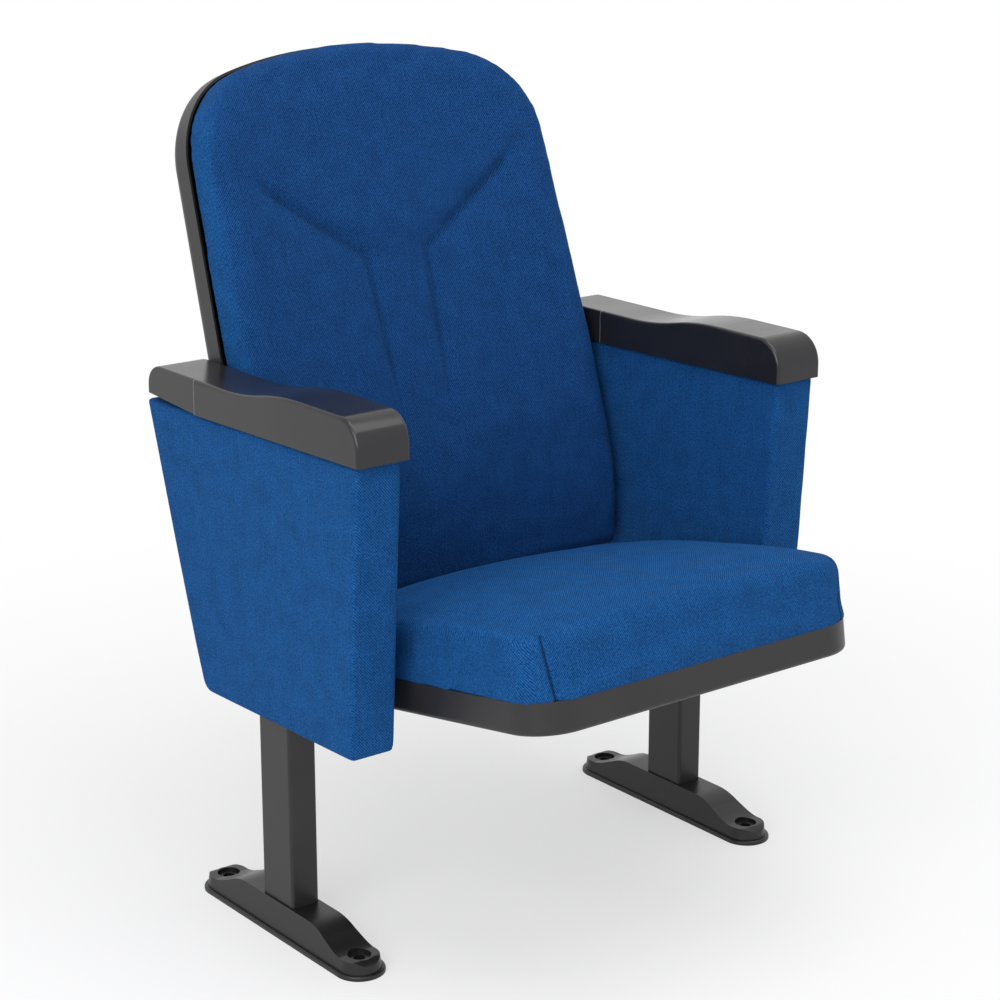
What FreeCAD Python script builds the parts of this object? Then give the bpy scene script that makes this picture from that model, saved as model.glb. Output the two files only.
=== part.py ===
"""Tip-up auditorium seat: two floor legs, upholstered side panels with armrests,
a fixed concave backrest and a seat that tips up about two pivot pins.

Frame: X runs across the seat, the front faces minus Y, Z is up and the floor is Z = 0.
The origin lies on the floor, midway between the legs and between the anchor holes.
Left and right are as seen from the front: right is plus X. Lengths are millimetres.
"""
import FreeCAD, Part
import math
import os

V = FreeCAD.Vector

# Legs and feet
LEG_PITCH = 570.0
TUBE_WIDTH = 35.0
TUBE_DEPTH = 60.0
TUBE_WALL = 2.0
TUBE_CORNER = 4.0
TUBE_TOP = 550.0
PLATE_THICK = 6.0
FOOT_LENGTH = 321.0
FOOT_WIDTH = 57.0
FOOT_LIP = 5.0
FOOT_DRAFT = 3.5
FOOT_WALL = 2.5
CREST_HEIGHT = 37.5
CREST_HALF = 62.0
CREST_FALL = ((78.5, 2.0), (94.0, 8.1))
TOE_HEIGHT = 18.5
TOE_RISE = ((107.0, 5.5), (118.0, 1.6))
TOE_START = 126.0
TOE_NOSE = ((14.0, 0.0), (4.0, 3.8), (0.0, 12.5))
ANCHOR_SPACING = 264.0
ANCHOR_HOLE_R = 5.5
RECESS_R = 13.0
RECESS_FLOOR = 14.5

# Side panels
PANEL_INSIDE = 260.0
SLOT_TOP = 300.0
PANEL_WIDTH = 57.2
PANEL_SKIN = 3.0
PANEL_EDGE_R = 5.0
PANEL_TOP_FRONT = (-188.0, 580.0)
PANEL_LOW_FRONT = (-168.7, 260.5)
PANEL_LOW_BACK = (119.0, 254.3)
PANEL_TOP_BACK = (222.0, 571.0)
PANEL_HEEL_R = 14.0
OUTER_BOARD = 8.0
RAIL_WIDTH = 22.0

# Armrests
ARM_INSIDE = 254.2
ARM_WIDTH = 65.5
ARM_WALL = 3.0
ARM_FRONT = -194.8
ARM_BACK = 214.0
ARM_STEP = 116.0
ARM_STEP_DROP = 1.5
ARM_STEP_R = 1.2
ARM_LOW_TOP = 613.0
ARM_HIGH_TOP = 629.0
ARM_NOSE_R = 33.0
ARM_TAIL_R = 24.0
ARM_TAIL_LIFT = 6.5
ARM_WAVE_FRONT = -90.0
ARM_WAVE_BACK = 60.0
ARM_EDGE_R = 4.0
ARM_BOSS_WALL = 4.0
ARM_CUT_LOW = 500.0
CARRIER_WIDTH = 30.0
CARRIER_THICK = 6.0
CARRIER_FRONT = -150.0
CARRIER_BACK = 170.0
ARM_SCREW_R = 3.0
ARM_SCREW_Y = (-125.0, -60.0, 80.0, 140.0)

# Pivot and stop
PIVOT_Y = -12.0
PIVOT_Z = 290.0
PIN_R = 8.0
BUSH_CLEARANCE = 0.05
BUSH_WALL = 3.0
BUSH_FLANGE_R = 13.0
BUSH_FLANGE_THICK = 2.5
BUSH_FLANGE_ROOM = 0.7
CUP_R = 26.0
CUP_PROUD = 13.4
CUP_FACE = PANEL_INSIDE - CUP_PROUD
CUP_FLOOR = 5.0
CUP_EDGE_R = 1.5
CLIP_THICK = 2.0
CLIP_R = 11.5
CLIP_GAP = 6.0
CLIP_INSET = 1.5
GROOVE_DEPTH = 1.0
SPRING_POCKET_R = 12.2
SPRING_WIRE_R = 1.0
SPRING_MEAN_R = 10.5
SPRING_TURNS = 4
SPRING_PITCH = 2.8
STOP_RADIUS = 18.5
STOP_STUD_R = 2.5
STOP_SLEEVE_R = 3.7
STOP_GAP = 0.3
STOP_START = -15.0
TIP_ANGLE = 72.0

# Seat
SEAT_SLOPE = 8.53
SEAT_LENGTH = 440.0
SEAT_SIDE_GAP = 1.2
HINGE_THICK = 5.0
SEAT_BACK_HALF = CUP_FACE - SEAT_SIDE_GAP - HINGE_THICK
SEAT_TAPER = 14.8
SEAT_FRONT_HALF = SEAT_BACK_HALF - SEAT_TAPER
PIN_REACH = 8.4
PIN_END = SEAT_BACK_HALF - PIN_REACH
SEAT_STRAIGHT = 140.0
PIVOT_FROM_REAR = 80.4
PIVOT_OVER_TRAY = 19.9
SEAT_CORNER_R = 53.0
TRAY_HEIGHT = 35.6
TRAY_WALL = 3.0
TRAY_EDGE_R = 6.0
TRAY_BOSS_R = 6.0
TRAY_SCREW_FRONT = 70.0
TRAY_SCREW_REAR = 55.0
TRAY_SCREW_X = (-150.0, 0.0, 150.0)
SCREW_R = 2.2
SCREW_HEAD_R = 4.4
SCREW_SHORT = 2.0
HEAD_SINK = 0.5
BOARD_THICK = 12.0
SEAT_PAD_FRONT = 116.0
SEAT_PAD_MIDDLE = 109.5
SEAT_PAD_BACK = 81.0
SEAT_PAD_OVERHANG = 6.0
SEAT_CROWN_R = 2300.0
SEAT_PAD_EDGE_R = 19.0
SEAT_PAD_INSET = -1.5
SEAT_PAD_KNEE = 30.0
SEAT_PAD_MID = 240.0
SEAT_SWEEP = 16.0
SEAT_PAD_DRAW_IN = 2.0
HINGE_CORNER_R = 8.0
HINGE_LOW = 2.0
HINGE_TOP_DROP = 1.0
POCKET_DEPTH = 3.0
HINGE_FRONT_GAP = 2.6
HINGE_REAR_GAP = 32.4
HINGE_FRONT = SEAT_STRAIGHT - PIVOT_FROM_REAR - HINGE_FRONT_GAP
HINGE_BACK = PIVOT_FROM_REAR - HINGE_REAR_GAP
HINGE_BOLT_INSET = (9.0, 12.0)
HINGE_BOLTS = (HINGE_BOLT_INSET[0] - HINGE_FRONT, HINGE_BACK - HINGE_BOLT_INSET[1])
ANGLE_THICK = 4.0
ANGLE_WIDTH = 40.0
HINGE_BAND = SEAT_BACK_HALF - ANGLE_WIDTH
BOLT_R = 4.0
BOLT_HEAD_R = 6.5
BOLT_HEAD = 5.0

# Backrest
BACK_LEAN = 18.6
BACK_REF_Z = 600.0
BACK_REF_Y = 146.0
BACK_FOOT_Y = 88.0
BACK_BOTTOM = 320.0
BACK_BEND_R = 370.0
BACK_WRAP_R = 1100.0
BACK_THICK = 46.0
BACK_TOP = 364.0
BACK_SPARE = 60.0
BACK_SIDE_HALF = 249.8
BACK_SIDE_TAPER = 0.040
BACK_LOW_HALF = 250.4
BACK_BOW_R = 575.0
BACK_CORNER_R = 115.0
BACK_EDGE_R = 14.0
BACK_SWEEP = 34.0
BACK_CUT_LOW = -340.0
BACK_CUT_FRONT = -80.0
BACK_BOARD = 12.0
BACK_BOARD_INSET = 8.0
SHELL_DEPTH = 34.0
SHELL_PROUD = 1.5
SHELL_WALL = 3.0
SHELL_EDGE_R = 16.0
CHANNEL_WIDTH = 7.0
CHANNEL_DEPTH = 2.5
CHANNEL_KNEE = (43.0, 112.0)
CHANNEL_TOP = (170.0, 199.0)
CHANNEL_LOW = (33.0, -100.0)
BRACKET_THICK = 6.0
EAR_THICK = 5.0
EAR_LOW = -118.0
EAR_HIGH = -60.0
EAR_CENTRE = 212.0
EAR_IN = 20.0
EAR_OUT = 66.0
EAR_GAP = 0.3
EAR_BOLTS = (-103.0, -75.0)
WEB_BACK = 151.0
WEB_LOW = 495.0
WEB_HIGH = 540.0
SHELL_BOSS_R = 5.0
SHELL_SCREW_S = (-60.0, 100.0, 240.0)
SHELL_SCREW_X = (-165.0, 165.0)

FIT = 0.3
FAR = 400.0
OVER_ARM = ARM_HIGH_TOP + FAR
LEG_X = LEG_PITCH / 2
TUBE_IN = LEG_X - TUBE_WIDTH / 2
TUBE_OUT = LEG_X + TUBE_WIDTH / 2
PANEL_OUTSIDE = PANEL_INSIDE + PANEL_WIDTH
CARRIER_TOP = TUBE_TOP + CARRIER_THICK
LEAN = math.radians(BACK_LEAN)


def save(name, *shapes):
    """Write one node, made of one solid or of several separate ones."""
    solids = [s for shape in shapes for s in shape.Solids]
    shape = solids[0] if len(solids) == 1 else Part.makeCompound(solids)
    shape.exportStep("parts/" + name + ".step")


def mirrored(shape):
    return shape.mirror(V(0, 0, 0), V(1, 0, 0))


def save_pair(name, *shapes):
    """Write a right-hand piece and its mirror image on the left."""
    save("right_" + name, *shapes)
    save("left_" + name, *[mirrored(s) for s in shapes])


def box(x0, x1, y0, y1, z0, z1):
    return Part.makeBox(x1 - x0, y1 - y0, z1 - z0, V(x0, y0, z0))


def rod_x(radius, x0, x1, y, z):
    return Part.makeCylinder(radius, x1 - x0, V(x0, y, z), V(1, 0, 0))


def rod_z(radius, z0, z1, x, y):
    return Part.makeCylinder(radius, z1 - z0, V(x, y, z0), V(0, 0, 1))


def loop(place, start, *steps):
    """A closed wire. A step is a point for a line, or two points for an arc."""
    edges = []
    here = place(*start)
    for step in steps:
        if isinstance(step[0], tuple):
            there = place(*step[1])
            edges.append(Part.Arc(here, place(*step[0]), there).toShape())
        else:
            there = place(*step)
            edges.append(Part.makeLine(here, there))
        here = there
    if (here - edges[0].firstVertex().Point).Length > 0.001:
        edges.append(Part.makeLine(here, place(*start)))
    return Part.Wire(edges)


def solid_from(wire, along):
    return Part.Face(wire).extrude(along)


def rounded(shape, radius, wanted):
    """Fillet the edges whose middle point passes the test."""
    edges = [e for e in shape.Edges if wanted(middle(e))]
    return shape.makeFillet(radius, edges)


def middle(edge):
    low, high = edge.ParameterRange
    return edge.valueAt((low + high) / 2)


def facing(face, direction):
    """How far the face's outward normal points along a direction."""
    u0, u1, v0, v1 = face.ParameterRange
    return face.normalAt((u0 + u1) / 2, (v0 + v1) / 2).dot(direction)


def rim_edges(shape, direction):
    """Edges between the faces that look along a direction and those that stand beside them."""
    found = []
    for edge in shape.Edges:
        faces = shape.ancestorsOfType(edge, Part.Face)
        looks = [facing(f, direction) for f in faces]
        if len(looks) == 2 and max(looks) > 0.7 and -0.5 < min(looks) < 0.5:
            found.append(edge)
    return found


def flat_xy(z):
    return lambda x, y: V(x, y, z)


def flat_yz(x):
    return lambda y, z: V(x, y, z)


def stadium(half_width, half_length, z):
    """A long loop along Y with round ends, centred on the leg."""
    straight = half_length - half_width
    return loop(flat_xy(z), (LEG_X + half_width, -straight),
                (LEG_X + half_width, straight),
                ((LEG_X, half_length), (LEG_X - half_width, straight)),
                (LEG_X - half_width, -straight),
                ((LEG_X, -half_length), (LEG_X + half_width, -straight)))


# Feet and legs


def foot_crest(inset):
    """Side outline of the foot: a high crest at the leg that sweeps down to two toes."""
    end = FOOT_LENGTH / 2 - FOOT_DRAFT - inset
    top = CREST_HEIGHT - inset
    toe = TOE_HEIGHT - inset
    half = [(CREST_HALF, top)]
    half += [(y, top - fall) for y, fall in CREST_FALL]
    half += [(y, toe + rise) for y, rise in TOE_RISE]
    half.append((TOE_START, toe))
    half += [(end - y, toe - fall) for y, fall in TOE_NOSE]
    back = [(-y, z) for y, z in half]
    return loop(flat_yz(LEG_X - FOOT_WIDTH), (-end, 0.0),
                back[8], (back[7], back[6]), back[5], (back[4], back[3]), back[2],
                (back[1], back[0]), half[0], (half[1], half[2]),
                half[3], (half[4], half[5]), half[6], (half[7], half[8]), (end, 0.0))


def foot_block(inset):
    """The body of the foot with its drafted sides."""
    side = solid_from(foot_crest(inset), V(2 * FOOT_WIDTH, 0, 0))
    wide = FOOT_WIDTH / 2 - FOOT_DRAFT - inset
    end = FOOT_LENGTH / 2 - FOOT_DRAFT - inset
    low = stadium(wide, end, 0.0)
    high = stadium(wide - FOOT_DRAFT * 1.7, end - FOOT_DRAFT * 1.7, CREST_HEIGHT + 4.0)
    return side.common(Part.makeLoft([low, high], True))


def at_anchors(make):
    return [make(LEG_X, y) for y in (-ANCHOR_SPACING / 2, ANCHOR_SPACING / 2)]


def tube_block(grow, z0, z1):
    half_x = TUBE_WIDTH / 2 + grow
    half_y = TUBE_DEPTH / 2 + grow
    block = box(LEG_X - half_x, LEG_X + half_x, -half_y, half_y, z0, z1)
    corner = TUBE_CORNER + grow
    upright = [e for e in block.Edges if abs(middle(e).z - (z0 + z1) / 2) < 0.01]
    return block.makeFillet(corner, upright)


def make_feet():
    half = FOOT_WIDTH / 2 - FOOT_DRAFT - FOOT_WALL - FIT
    long_half = FOOT_LENGTH / 2 - FOOT_DRAFT - FOOT_WALL - FIT
    plate = solid_from(stadium(half, long_half, 0.0), V(0, 0, PLATE_THICK))
    plate = plate.cut(at_anchors(lambda x, y: rod_z(ANCHOR_HOLE_R, 0.0, PLATE_THICK, x, y)))
    save_pair("base_plate", plate)

    lip = solid_from(stadium(FOOT_WIDTH / 2, FOOT_LENGTH / 2, 0.0), V(0, 0, FOOT_LIP))
    lip = rounded(lip, FOOT_LIP * 0.5, lambda p: p.z > FOOT_LIP - 0.01)
    cover = lip.fuse(foot_block(0.0)).removeSplitter()
    cover = cover.cut(foot_block(FOOT_WALL))
    room = stadium(half + FIT, long_half + FIT, 0.0)
    cover = cover.cut(solid_from(room, V(0, 0, PLATE_THICK)))
    boss = at_anchors(lambda x, y: rod_z(RECESS_R + FOOT_WALL, PLATE_THICK, TOE_HEIGHT, x, y))
    cover = cover.fuse(boss)
    dish = at_anchors(lambda x, y: rod_z(RECESS_R, RECESS_FLOOR, CREST_HEIGHT, x, y))
    hole = at_anchors(lambda x, y: rod_z(ANCHOR_HOLE_R + 1.0, 0.0, CREST_HEIGHT, x, y))
    cover = cover.cut(dish + hole)
    cover = cover.cut(tube_block(FIT, 0.0, 2 * CREST_HEIGHT))
    save_pair("foot_cover", cover)


def make_legs():
    tube = tube_block(0.0, PLATE_THICK, TUBE_TOP)
    tube = tube.cut(tube_block(-TUBE_WALL, PLATE_THICK, TUBE_TOP))
    tube = tube.cut(rod_x(PIN_R, TUBE_IN, TUBE_OUT, PIVOT_Y, PIVOT_Z))
    save_pair("leg_tube", tube)


# Side panels


def panel_loop(inset, x):
    """Side outline of the panel, moved inwards by an inset."""
    corners = [PANEL_TOP_FRONT, PANEL_LOW_FRONT, PANEL_LOW_BACK, PANEL_TOP_BACK]
    wire = Part.makePolygon([V(x, y, z) for y, z in corners + corners[:1]])
    face = Part.Face(wire)
    if inset > 0.0:
        face = Part.Face(wire.makeOffset2D(-inset, 2))
    return face


def panel_block(inset, x0, x1):
    block = panel_loop(inset, x0).extrude(V(x1 - x0, 0, 0))
    heel_y, heel_z = PANEL_LOW_BACK
    heel = [e for e in block.Edges
            if abs(middle(e).x - (x0 + x1) / 2) < 0.01
            and math.hypot(middle(e).y - heel_y, middle(e).z - heel_z) < inset * 2 + 1.0]
    return block.makeFillet(max(PANEL_HEEL_R - inset, 1.0), heel)


def panel_cuts():
    """Openings in the panel's inner side and bottom for the leg, the pivot and the back."""
    slot = tube_block(FIT, 0.0, SLOT_TOP)
    cup = rod_x(CUP_R + FIT, PANEL_INSIDE - 1.0, TUBE_IN, PIVOT_Y, PIVOT_Z)
    return [slot, cup, bracket_ear(FIT)]


def arm_screw_holes(radius, z0, z1):
    return [rod_z(radius, z0, z1, LEG_X, y) for y in ARM_SCREW_Y]


def make_panels():
    skin = PANEL_SKIN
    inner_x = PANEL_INSIDE + skin
    outer_x = PANEL_OUTSIDE - skin
    cuts = panel_cuts() + arm_screw_holes(ARM_SCREW_R + FIT, ARM_CUT_LOW, OVER_ARM)

    cover = panel_block(0.0, PANEL_INSIDE, PANEL_OUTSIDE)
    cover = cover.makeFillet(PANEL_EDGE_R, [e for e in cover.Edges
                                            if abs(middle(e).x - PANEL_INSIDE) < 0.01
                                            or abs(middle(e).x - PANEL_OUTSIDE) < 0.01])
    cover = cover.cut(panel_block(skin, inner_x, outer_x))
    save_pair("side_upholstery", cover.cut(cuts))

    save_pair("outer_board", panel_block(skin, outer_x - OUTER_BOARD, outer_x))
    save_pair("inner_board", panel_block(skin, inner_x, TUBE_IN).cut(panel_cuts()))

    frame = panel_block(skin, TUBE_IN, outer_x - OUTER_BOARD)
    frame = frame.cut(panel_block(skin + RAIL_WIDTH, TUBE_IN, outer_x - OUTER_BOARD))
    notch = box(LEG_X - CARRIER_WIDTH / 2 - FIT, LEG_X + CARRIER_WIDTH / 2 + FIT,
                CARRIER_FRONT - FIT, CARRIER_BACK + FIT, TUBE_TOP - RAIL_WIDTH, CARRIER_TOP)
    head = tube_block(FIT, TUBE_TOP - RAIL_WIDTH, TUBE_TOP)
    save_pair("panel_frame", frame.cut(cuts + [notch, head]))


def make_carriers():
    bar = box(LEG_X - CARRIER_WIDTH / 2, LEG_X + CARRIER_WIDTH / 2,
              CARRIER_FRONT, CARRIER_BACK, TUBE_TOP, CARRIER_TOP)
    save_pair("arm_carrier", bar.cut(arm_screw_holes(ARM_SCREW_R, TUBE_TOP, CARRIER_TOP)))


# Armrests


def panel_top_at(y):
    """Height of the panel's sloping top."""
    y0, z0 = PANEL_TOP_FRONT
    y1, z1 = PANEL_TOP_BACK
    return z0 + (z1 - z0) * (y - y0) / (y1 - y0)


def arm_loop(inset, drop=0.0):
    """Side outline of the armrest: low at the back, a wave up to a rounded nose.

    The inset moves it inwards, and the drop moves its lower edge down.
    """
    low = ARM_LOW_TOP - inset
    high = ARM_HIGH_TOP - inset
    front = ARM_FRONT + inset
    back = ARM_BACK - inset
    nose = ARM_NOSE_R - inset
    tail = ARM_TAIL_R - inset
    diagonal = 1 - math.sqrt(0.5)
    wave_mid = (ARM_WAVE_FRONT + ARM_WAVE_BACK) / 2
    half = (ARM_WAVE_BACK - ARM_WAVE_FRONT) / 2
    fall = (high - low) / 2
    wave_r = (half * half + fall * fall) / (2 * fall)
    turn = math.asin(half / wave_r) / 2
    dip = wave_r * (1 - math.cos(turn))
    run = wave_r * math.sin(turn)
    under = FIT - drop
    return loop(flat_yz(ARM_INSIDE + inset), (front, panel_top_at(front) + under),
                (front, high - nose),
                ((front + nose * diagonal, high - nose * diagonal), (front + nose, high)),
                (ARM_WAVE_FRONT, high),
                ((ARM_WAVE_FRONT + run, high - dip), (wave_mid, high - fall)),
                ((ARM_WAVE_BACK - run, low + dip), (ARM_WAVE_BACK, low)),
                (back - tail, low),
                ((back - tail * diagonal, low - tail * diagonal), (back, low - tail)),
                (back, panel_top_at(ARM_STEP) + ARM_TAIL_LIFT - drop),
                (ARM_STEP, panel_top_at(ARM_STEP) + under))


def make_armrests():
    arm = solid_from(arm_loop(0.0), V(ARM_WIDTH, 0, 0))
    arm = arm.makeFillet(ARM_EDGE_R, [e for e in arm.Edges
                                      if middle(e).z > panel_top_at(0.0) + 12.0
                                      and (abs(middle(e).x - ARM_INSIDE) < 0.01
                                           or abs(middle(e).x - ARM_INSIDE - ARM_WIDTH) < 0.01)])
    step = box(ARM_INSIDE - 1.0, ARM_INSIDE + ARM_STEP_DROP, ARM_STEP, ARM_BACK + 1.0,
               ARM_CUT_LOW, OVER_ARM)
    other = step.translated(V(ARM_WIDTH + 1.0 - ARM_STEP_DROP, 0, 0))
    arm = arm.cut([step, other])
    arm = arm.makeFillet(ARM_STEP_R, [e for e in arm.Edges
                                      if abs(middle(e).y - ARM_STEP) < 0.01
                                      and abs(e.tangentAt(e.FirstParameter).z) > 0.99
                                      and (abs(middle(e).x - ARM_INSIDE) < 0.01
                                           or abs(middle(e).x - ARM_INSIDE - ARM_WIDTH) < 0.01)])
    hollow = solid_from(arm_loop(ARM_WALL, 2 * ARM_WALL), V(ARM_WIDTH - 2 * ARM_WALL, 0, 0))
    hollow = hollow.common(box(ARM_INSIDE + ARM_WALL + ARM_STEP_DROP,
                               ARM_INSIDE + ARM_WIDTH - ARM_WALL - ARM_STEP_DROP,
                               -FAR, FAR, ARM_CUT_LOW, OVER_ARM))
    bosses = arm_screw_holes(ARM_SCREW_R + ARM_BOSS_WALL, ARM_CUT_LOW, OVER_ARM)
    within = solid_from(arm_loop(ARM_WALL / 2), V(ARM_WIDTH - ARM_WALL, 0, 0))
    bosses = Part.makeCompound(bosses).common(within)
    arm = arm.cut(hollow).fuse(bosses.Solids)
    arm = arm.cut(arm_screw_holes(ARM_SCREW_R, ARM_CUT_LOW, ARM_LOW_TOP - 2 * ARM_WALL))
    save_pair("armrest", arm.removeSplitter())

    screws = []
    for y in ARM_SCREW_Y:
        shank = rod_z(ARM_SCREW_R, TUBE_TOP, ARM_LOW_TOP - 3 * ARM_WALL, LEG_X, y)
        head = rod_z(ARM_SCREW_R * 1.9, TUBE_TOP - ARM_SCREW_R, TUBE_TOP, LEG_X, y)
        screws.append(shank.fuse(head).removeSplitter())
    save_pair("arm_screws", *screws)


# Pivot: pin, cup with the stop track, spring and clip


def at_stop(radius, angle, x0, x1):
    """A rod along X on the stop's circle; the angle runs from the front upwards."""
    turn = math.radians(angle)
    y = PIVOT_Y - STOP_RADIUS * math.cos(turn)
    z = PIVOT_Z + STOP_RADIUS * math.sin(turn)
    return rod_x(radius, x0, x1, y, z)


def stop_track(x0, x1):
    """The slot in the cup that the stop stud travels in."""
    wide = STOP_SLEEVE_R + STOP_GAP
    ring = rod_x(STOP_RADIUS + wide, x0, x1, PIVOT_Y, PIVOT_Z)
    ring = ring.cut(rod_x(STOP_RADIUS - wide, x0, x1, PIVOT_Y, PIVOT_Z))
    reach = 2 * CUP_R
    turns = [math.radians(STOP_START + TIP_ANGLE * k / 2) for k in range(3)]
    rim = [(PIVOT_Y - reach * math.cos(t), PIVOT_Z + reach * math.sin(t)) for t in turns]
    wedge = solid_from(loop(flat_yz(x0), (PIVOT_Y, PIVOT_Z), rim[0], (rim[1], rim[2])),
                       V(x1 - x0, 0, 0))
    ends = [at_stop(wide, a, x0, x1) for a in (STOP_START, STOP_START + TIP_ANGLE)]
    return ring.common(wedge).fuse(ends).removeSplitter()


def biarc(p0, t0, p1, t1):
    """Two tangent arcs that join two points with the given directions."""
    gap = p1 - p0
    both = t0 + t1
    a = 2 * (1 - t0.dot(t1))
    b = 2 * gap.dot(both)
    reach = (-b + math.sqrt(b * b + 4 * a * gap.dot(gap))) / (2 * a)
    q0 = p0 + t0 * reach
    q1 = p1 - t1 * reach
    joint = (q0 + q1) * 0.5
    return [tangent_arc(p0, q0, joint), tangent_arc(joint, q1, p1)]


def tangent_arc(start, corner, end):
    """The arc from start to end that is tangent to both lines through the corner."""
    half = (start + end) * 0.5
    to_corner = corner - half
    chord = (end - start).Length / 2
    side = (corner - start).Length
    angle = math.acos(min(1.0, chord / side))
    rise = chord * math.tan(angle / 2)
    return Part.Arc(start, half + to_corner * (rise / to_corner.Length), end).toShape()


def torsion_spring():
    """Close-wound coil round the pin; its inner end is bent into the hinge plate."""
    start_x = hinge_face() + SPRING_WIRE_R + 2 * FIT
    drop = SPRING_PITCH / (2 * math.pi)

    def point(turn):
        return V(start_x + drop * turn, PIVOT_Y + SPRING_MEAN_R * math.cos(turn),
                 PIVOT_Z + SPRING_MEAN_R * math.sin(turn))

    def heading(turn):
        way = V(drop, -SPRING_MEAN_R * math.sin(turn), SPRING_MEAN_R * math.cos(turn))
        return way.normalize()

    quarter = math.pi / 2
    first = point(0.0)
    away = heading(0.0) * -1.0
    bend = SPRING_WIRE_R * 1.5
    corner = first + away * bend
    tip = corner + V(-bend, 0, 0)
    end = tip + V(-HINGE_THICK * 0.6, 0, 0)
    edges = [Part.makeLine(end, tip), tangent_arc(tip, corner, first)]
    for k in range(SPRING_TURNS * 4):
        a = k * quarter
        b = a + quarter
        edges += biarc(point(a), heading(a), point(b), heading(b))
    path = Part.Wire(edges)
    ring = Part.Wire(Part.makeCircle(SPRING_WIRE_R, end, V(-1, 0, 0)))
    coil = path.makePipeShell([ring], True, False)
    socket = rod_x(SPRING_WIRE_R + FIT / 2, end.x - FIT, hinge_face() + 1.0, end.y, end.z)
    return coil, socket


def hinge_face():
    return SEAT_BACK_HALF + HINGE_THICK


def make_pivots():
    pin = rod_x(PIN_R, PIN_END, TUBE_OUT, PIVOT_Y, PIVOT_Z)
    clip_x = PIN_END + CLIP_INSET
    clip_end = clip_x + CLIP_THICK
    core = rod_x(PIN_R - GROOVE_DEPTH, clip_x, clip_end, PIVOT_Y, PIVOT_Z)
    clip = rod_x(CLIP_R, clip_x, clip_end, PIVOT_Y, PIVOT_Z).cut(core)
    save_pair("pivot_pin", pin.cut(clip))
    clip = clip.cut(box(clip_x, clip_end, PIVOT_Y - CLIP_GAP / 2, PIVOT_Y + CLIP_GAP / 2,
                        PIVOT_Z, PIVOT_Z + CLIP_R))
    save("pivot_clips", clip, mirrored(clip))

    cup = rod_x(CUP_R, CUP_FACE, TUBE_IN, PIVOT_Y, PIVOT_Z)
    cup = rounded(cup, CUP_EDGE_R, lambda p: p.x < CUP_FACE + 0.01)
    floor = TUBE_IN - CUP_FLOOR
    cup = cup.cut([rod_x(PIN_R, CUP_FACE, TUBE_IN, PIVOT_Y, PIVOT_Z),
                   rod_x(SPRING_POCKET_R, CUP_FACE - 1.0, floor, PIVOT_Y, PIVOT_Z),
                   stop_track(CUP_FACE - 1.0, floor)])
    save_pair("pivot_cup", cup)


# Seat: everything below is laid out flat and then set on the seat's slope


def seat_flat(w):
    return lambda x, v: V(x, v, w)


def set_seat(shape):
    """Turn a flat piece to the seat's slope and move it to the seat's front edge."""
    placed = shape.copy()
    turn = FreeCAD.Rotation(V(1, 0, 0), -SEAT_SLOPE)
    placed.Placement = FreeCAD.Placement(seat_front_edge(), turn).multiply(placed.Placement)
    return placed


def pivot_flat():
    """The pivot's place in the flat layout, as (v, w)."""
    return SEAT_LENGTH - PIVOT_FROM_REAR, PIVOT_OVER_TRAY


def seat_front_edge():
    """Where the flat layout's front edge comes to lie, so that the pivot is on its axis."""
    v, w = pivot_flat()
    turn = math.radians(SEAT_SLOPE)
    return V(0, PIVOT_Y - v * math.cos(turn) - w * math.sin(turn),
             PIVOT_Z + v * math.sin(turn) - w * math.cos(turn))


def seat_plan(inset, w, draw_in=0.0):
    """Plan outline: straight front with large corners, tapering sides and a straight back."""
    front = SEAT_FRONT_HALF - inset
    back = SEAT_BACK_HALF - inset
    r = SEAT_CORNER_R - inset
    taper = SEAT_LENGTH - SEAT_STRAIGHT
    slope = (back - front) / taper
    side_v = inset + r
    side_x = front + slope * side_v
    end = SEAT_LENGTH - inset
    nick = r * (1 - math.sqrt(0.5))
    bow_v = (side_v + taper) / 2
    bow_x = (side_x + back) / 2 - draw_in
    right = [(side_x - r, inset), (side_x - nick, inset + nick), (side_x, side_v),
             (bow_x, bow_v), (back, taper), (back, end)]
    left = [(-x, v) for x, v in right]
    steps = [(right[1], right[2])]
    steps += [(right[3], right[4])] if draw_in else [right[4]]
    steps += [right[5], left[5], left[4]]
    steps += [(left[3], left[2])] if draw_in else [left[2]]
    steps += [(left[1], left[0])]
    return loop(seat_flat(w), right[0], *steps)


def tray_screw_places():
    rows = (TRAY_SCREW_FRONT, SEAT_LENGTH - TRAY_SCREW_REAR)
    return [(x, v) for v in rows for x in TRAY_SCREW_X]


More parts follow.
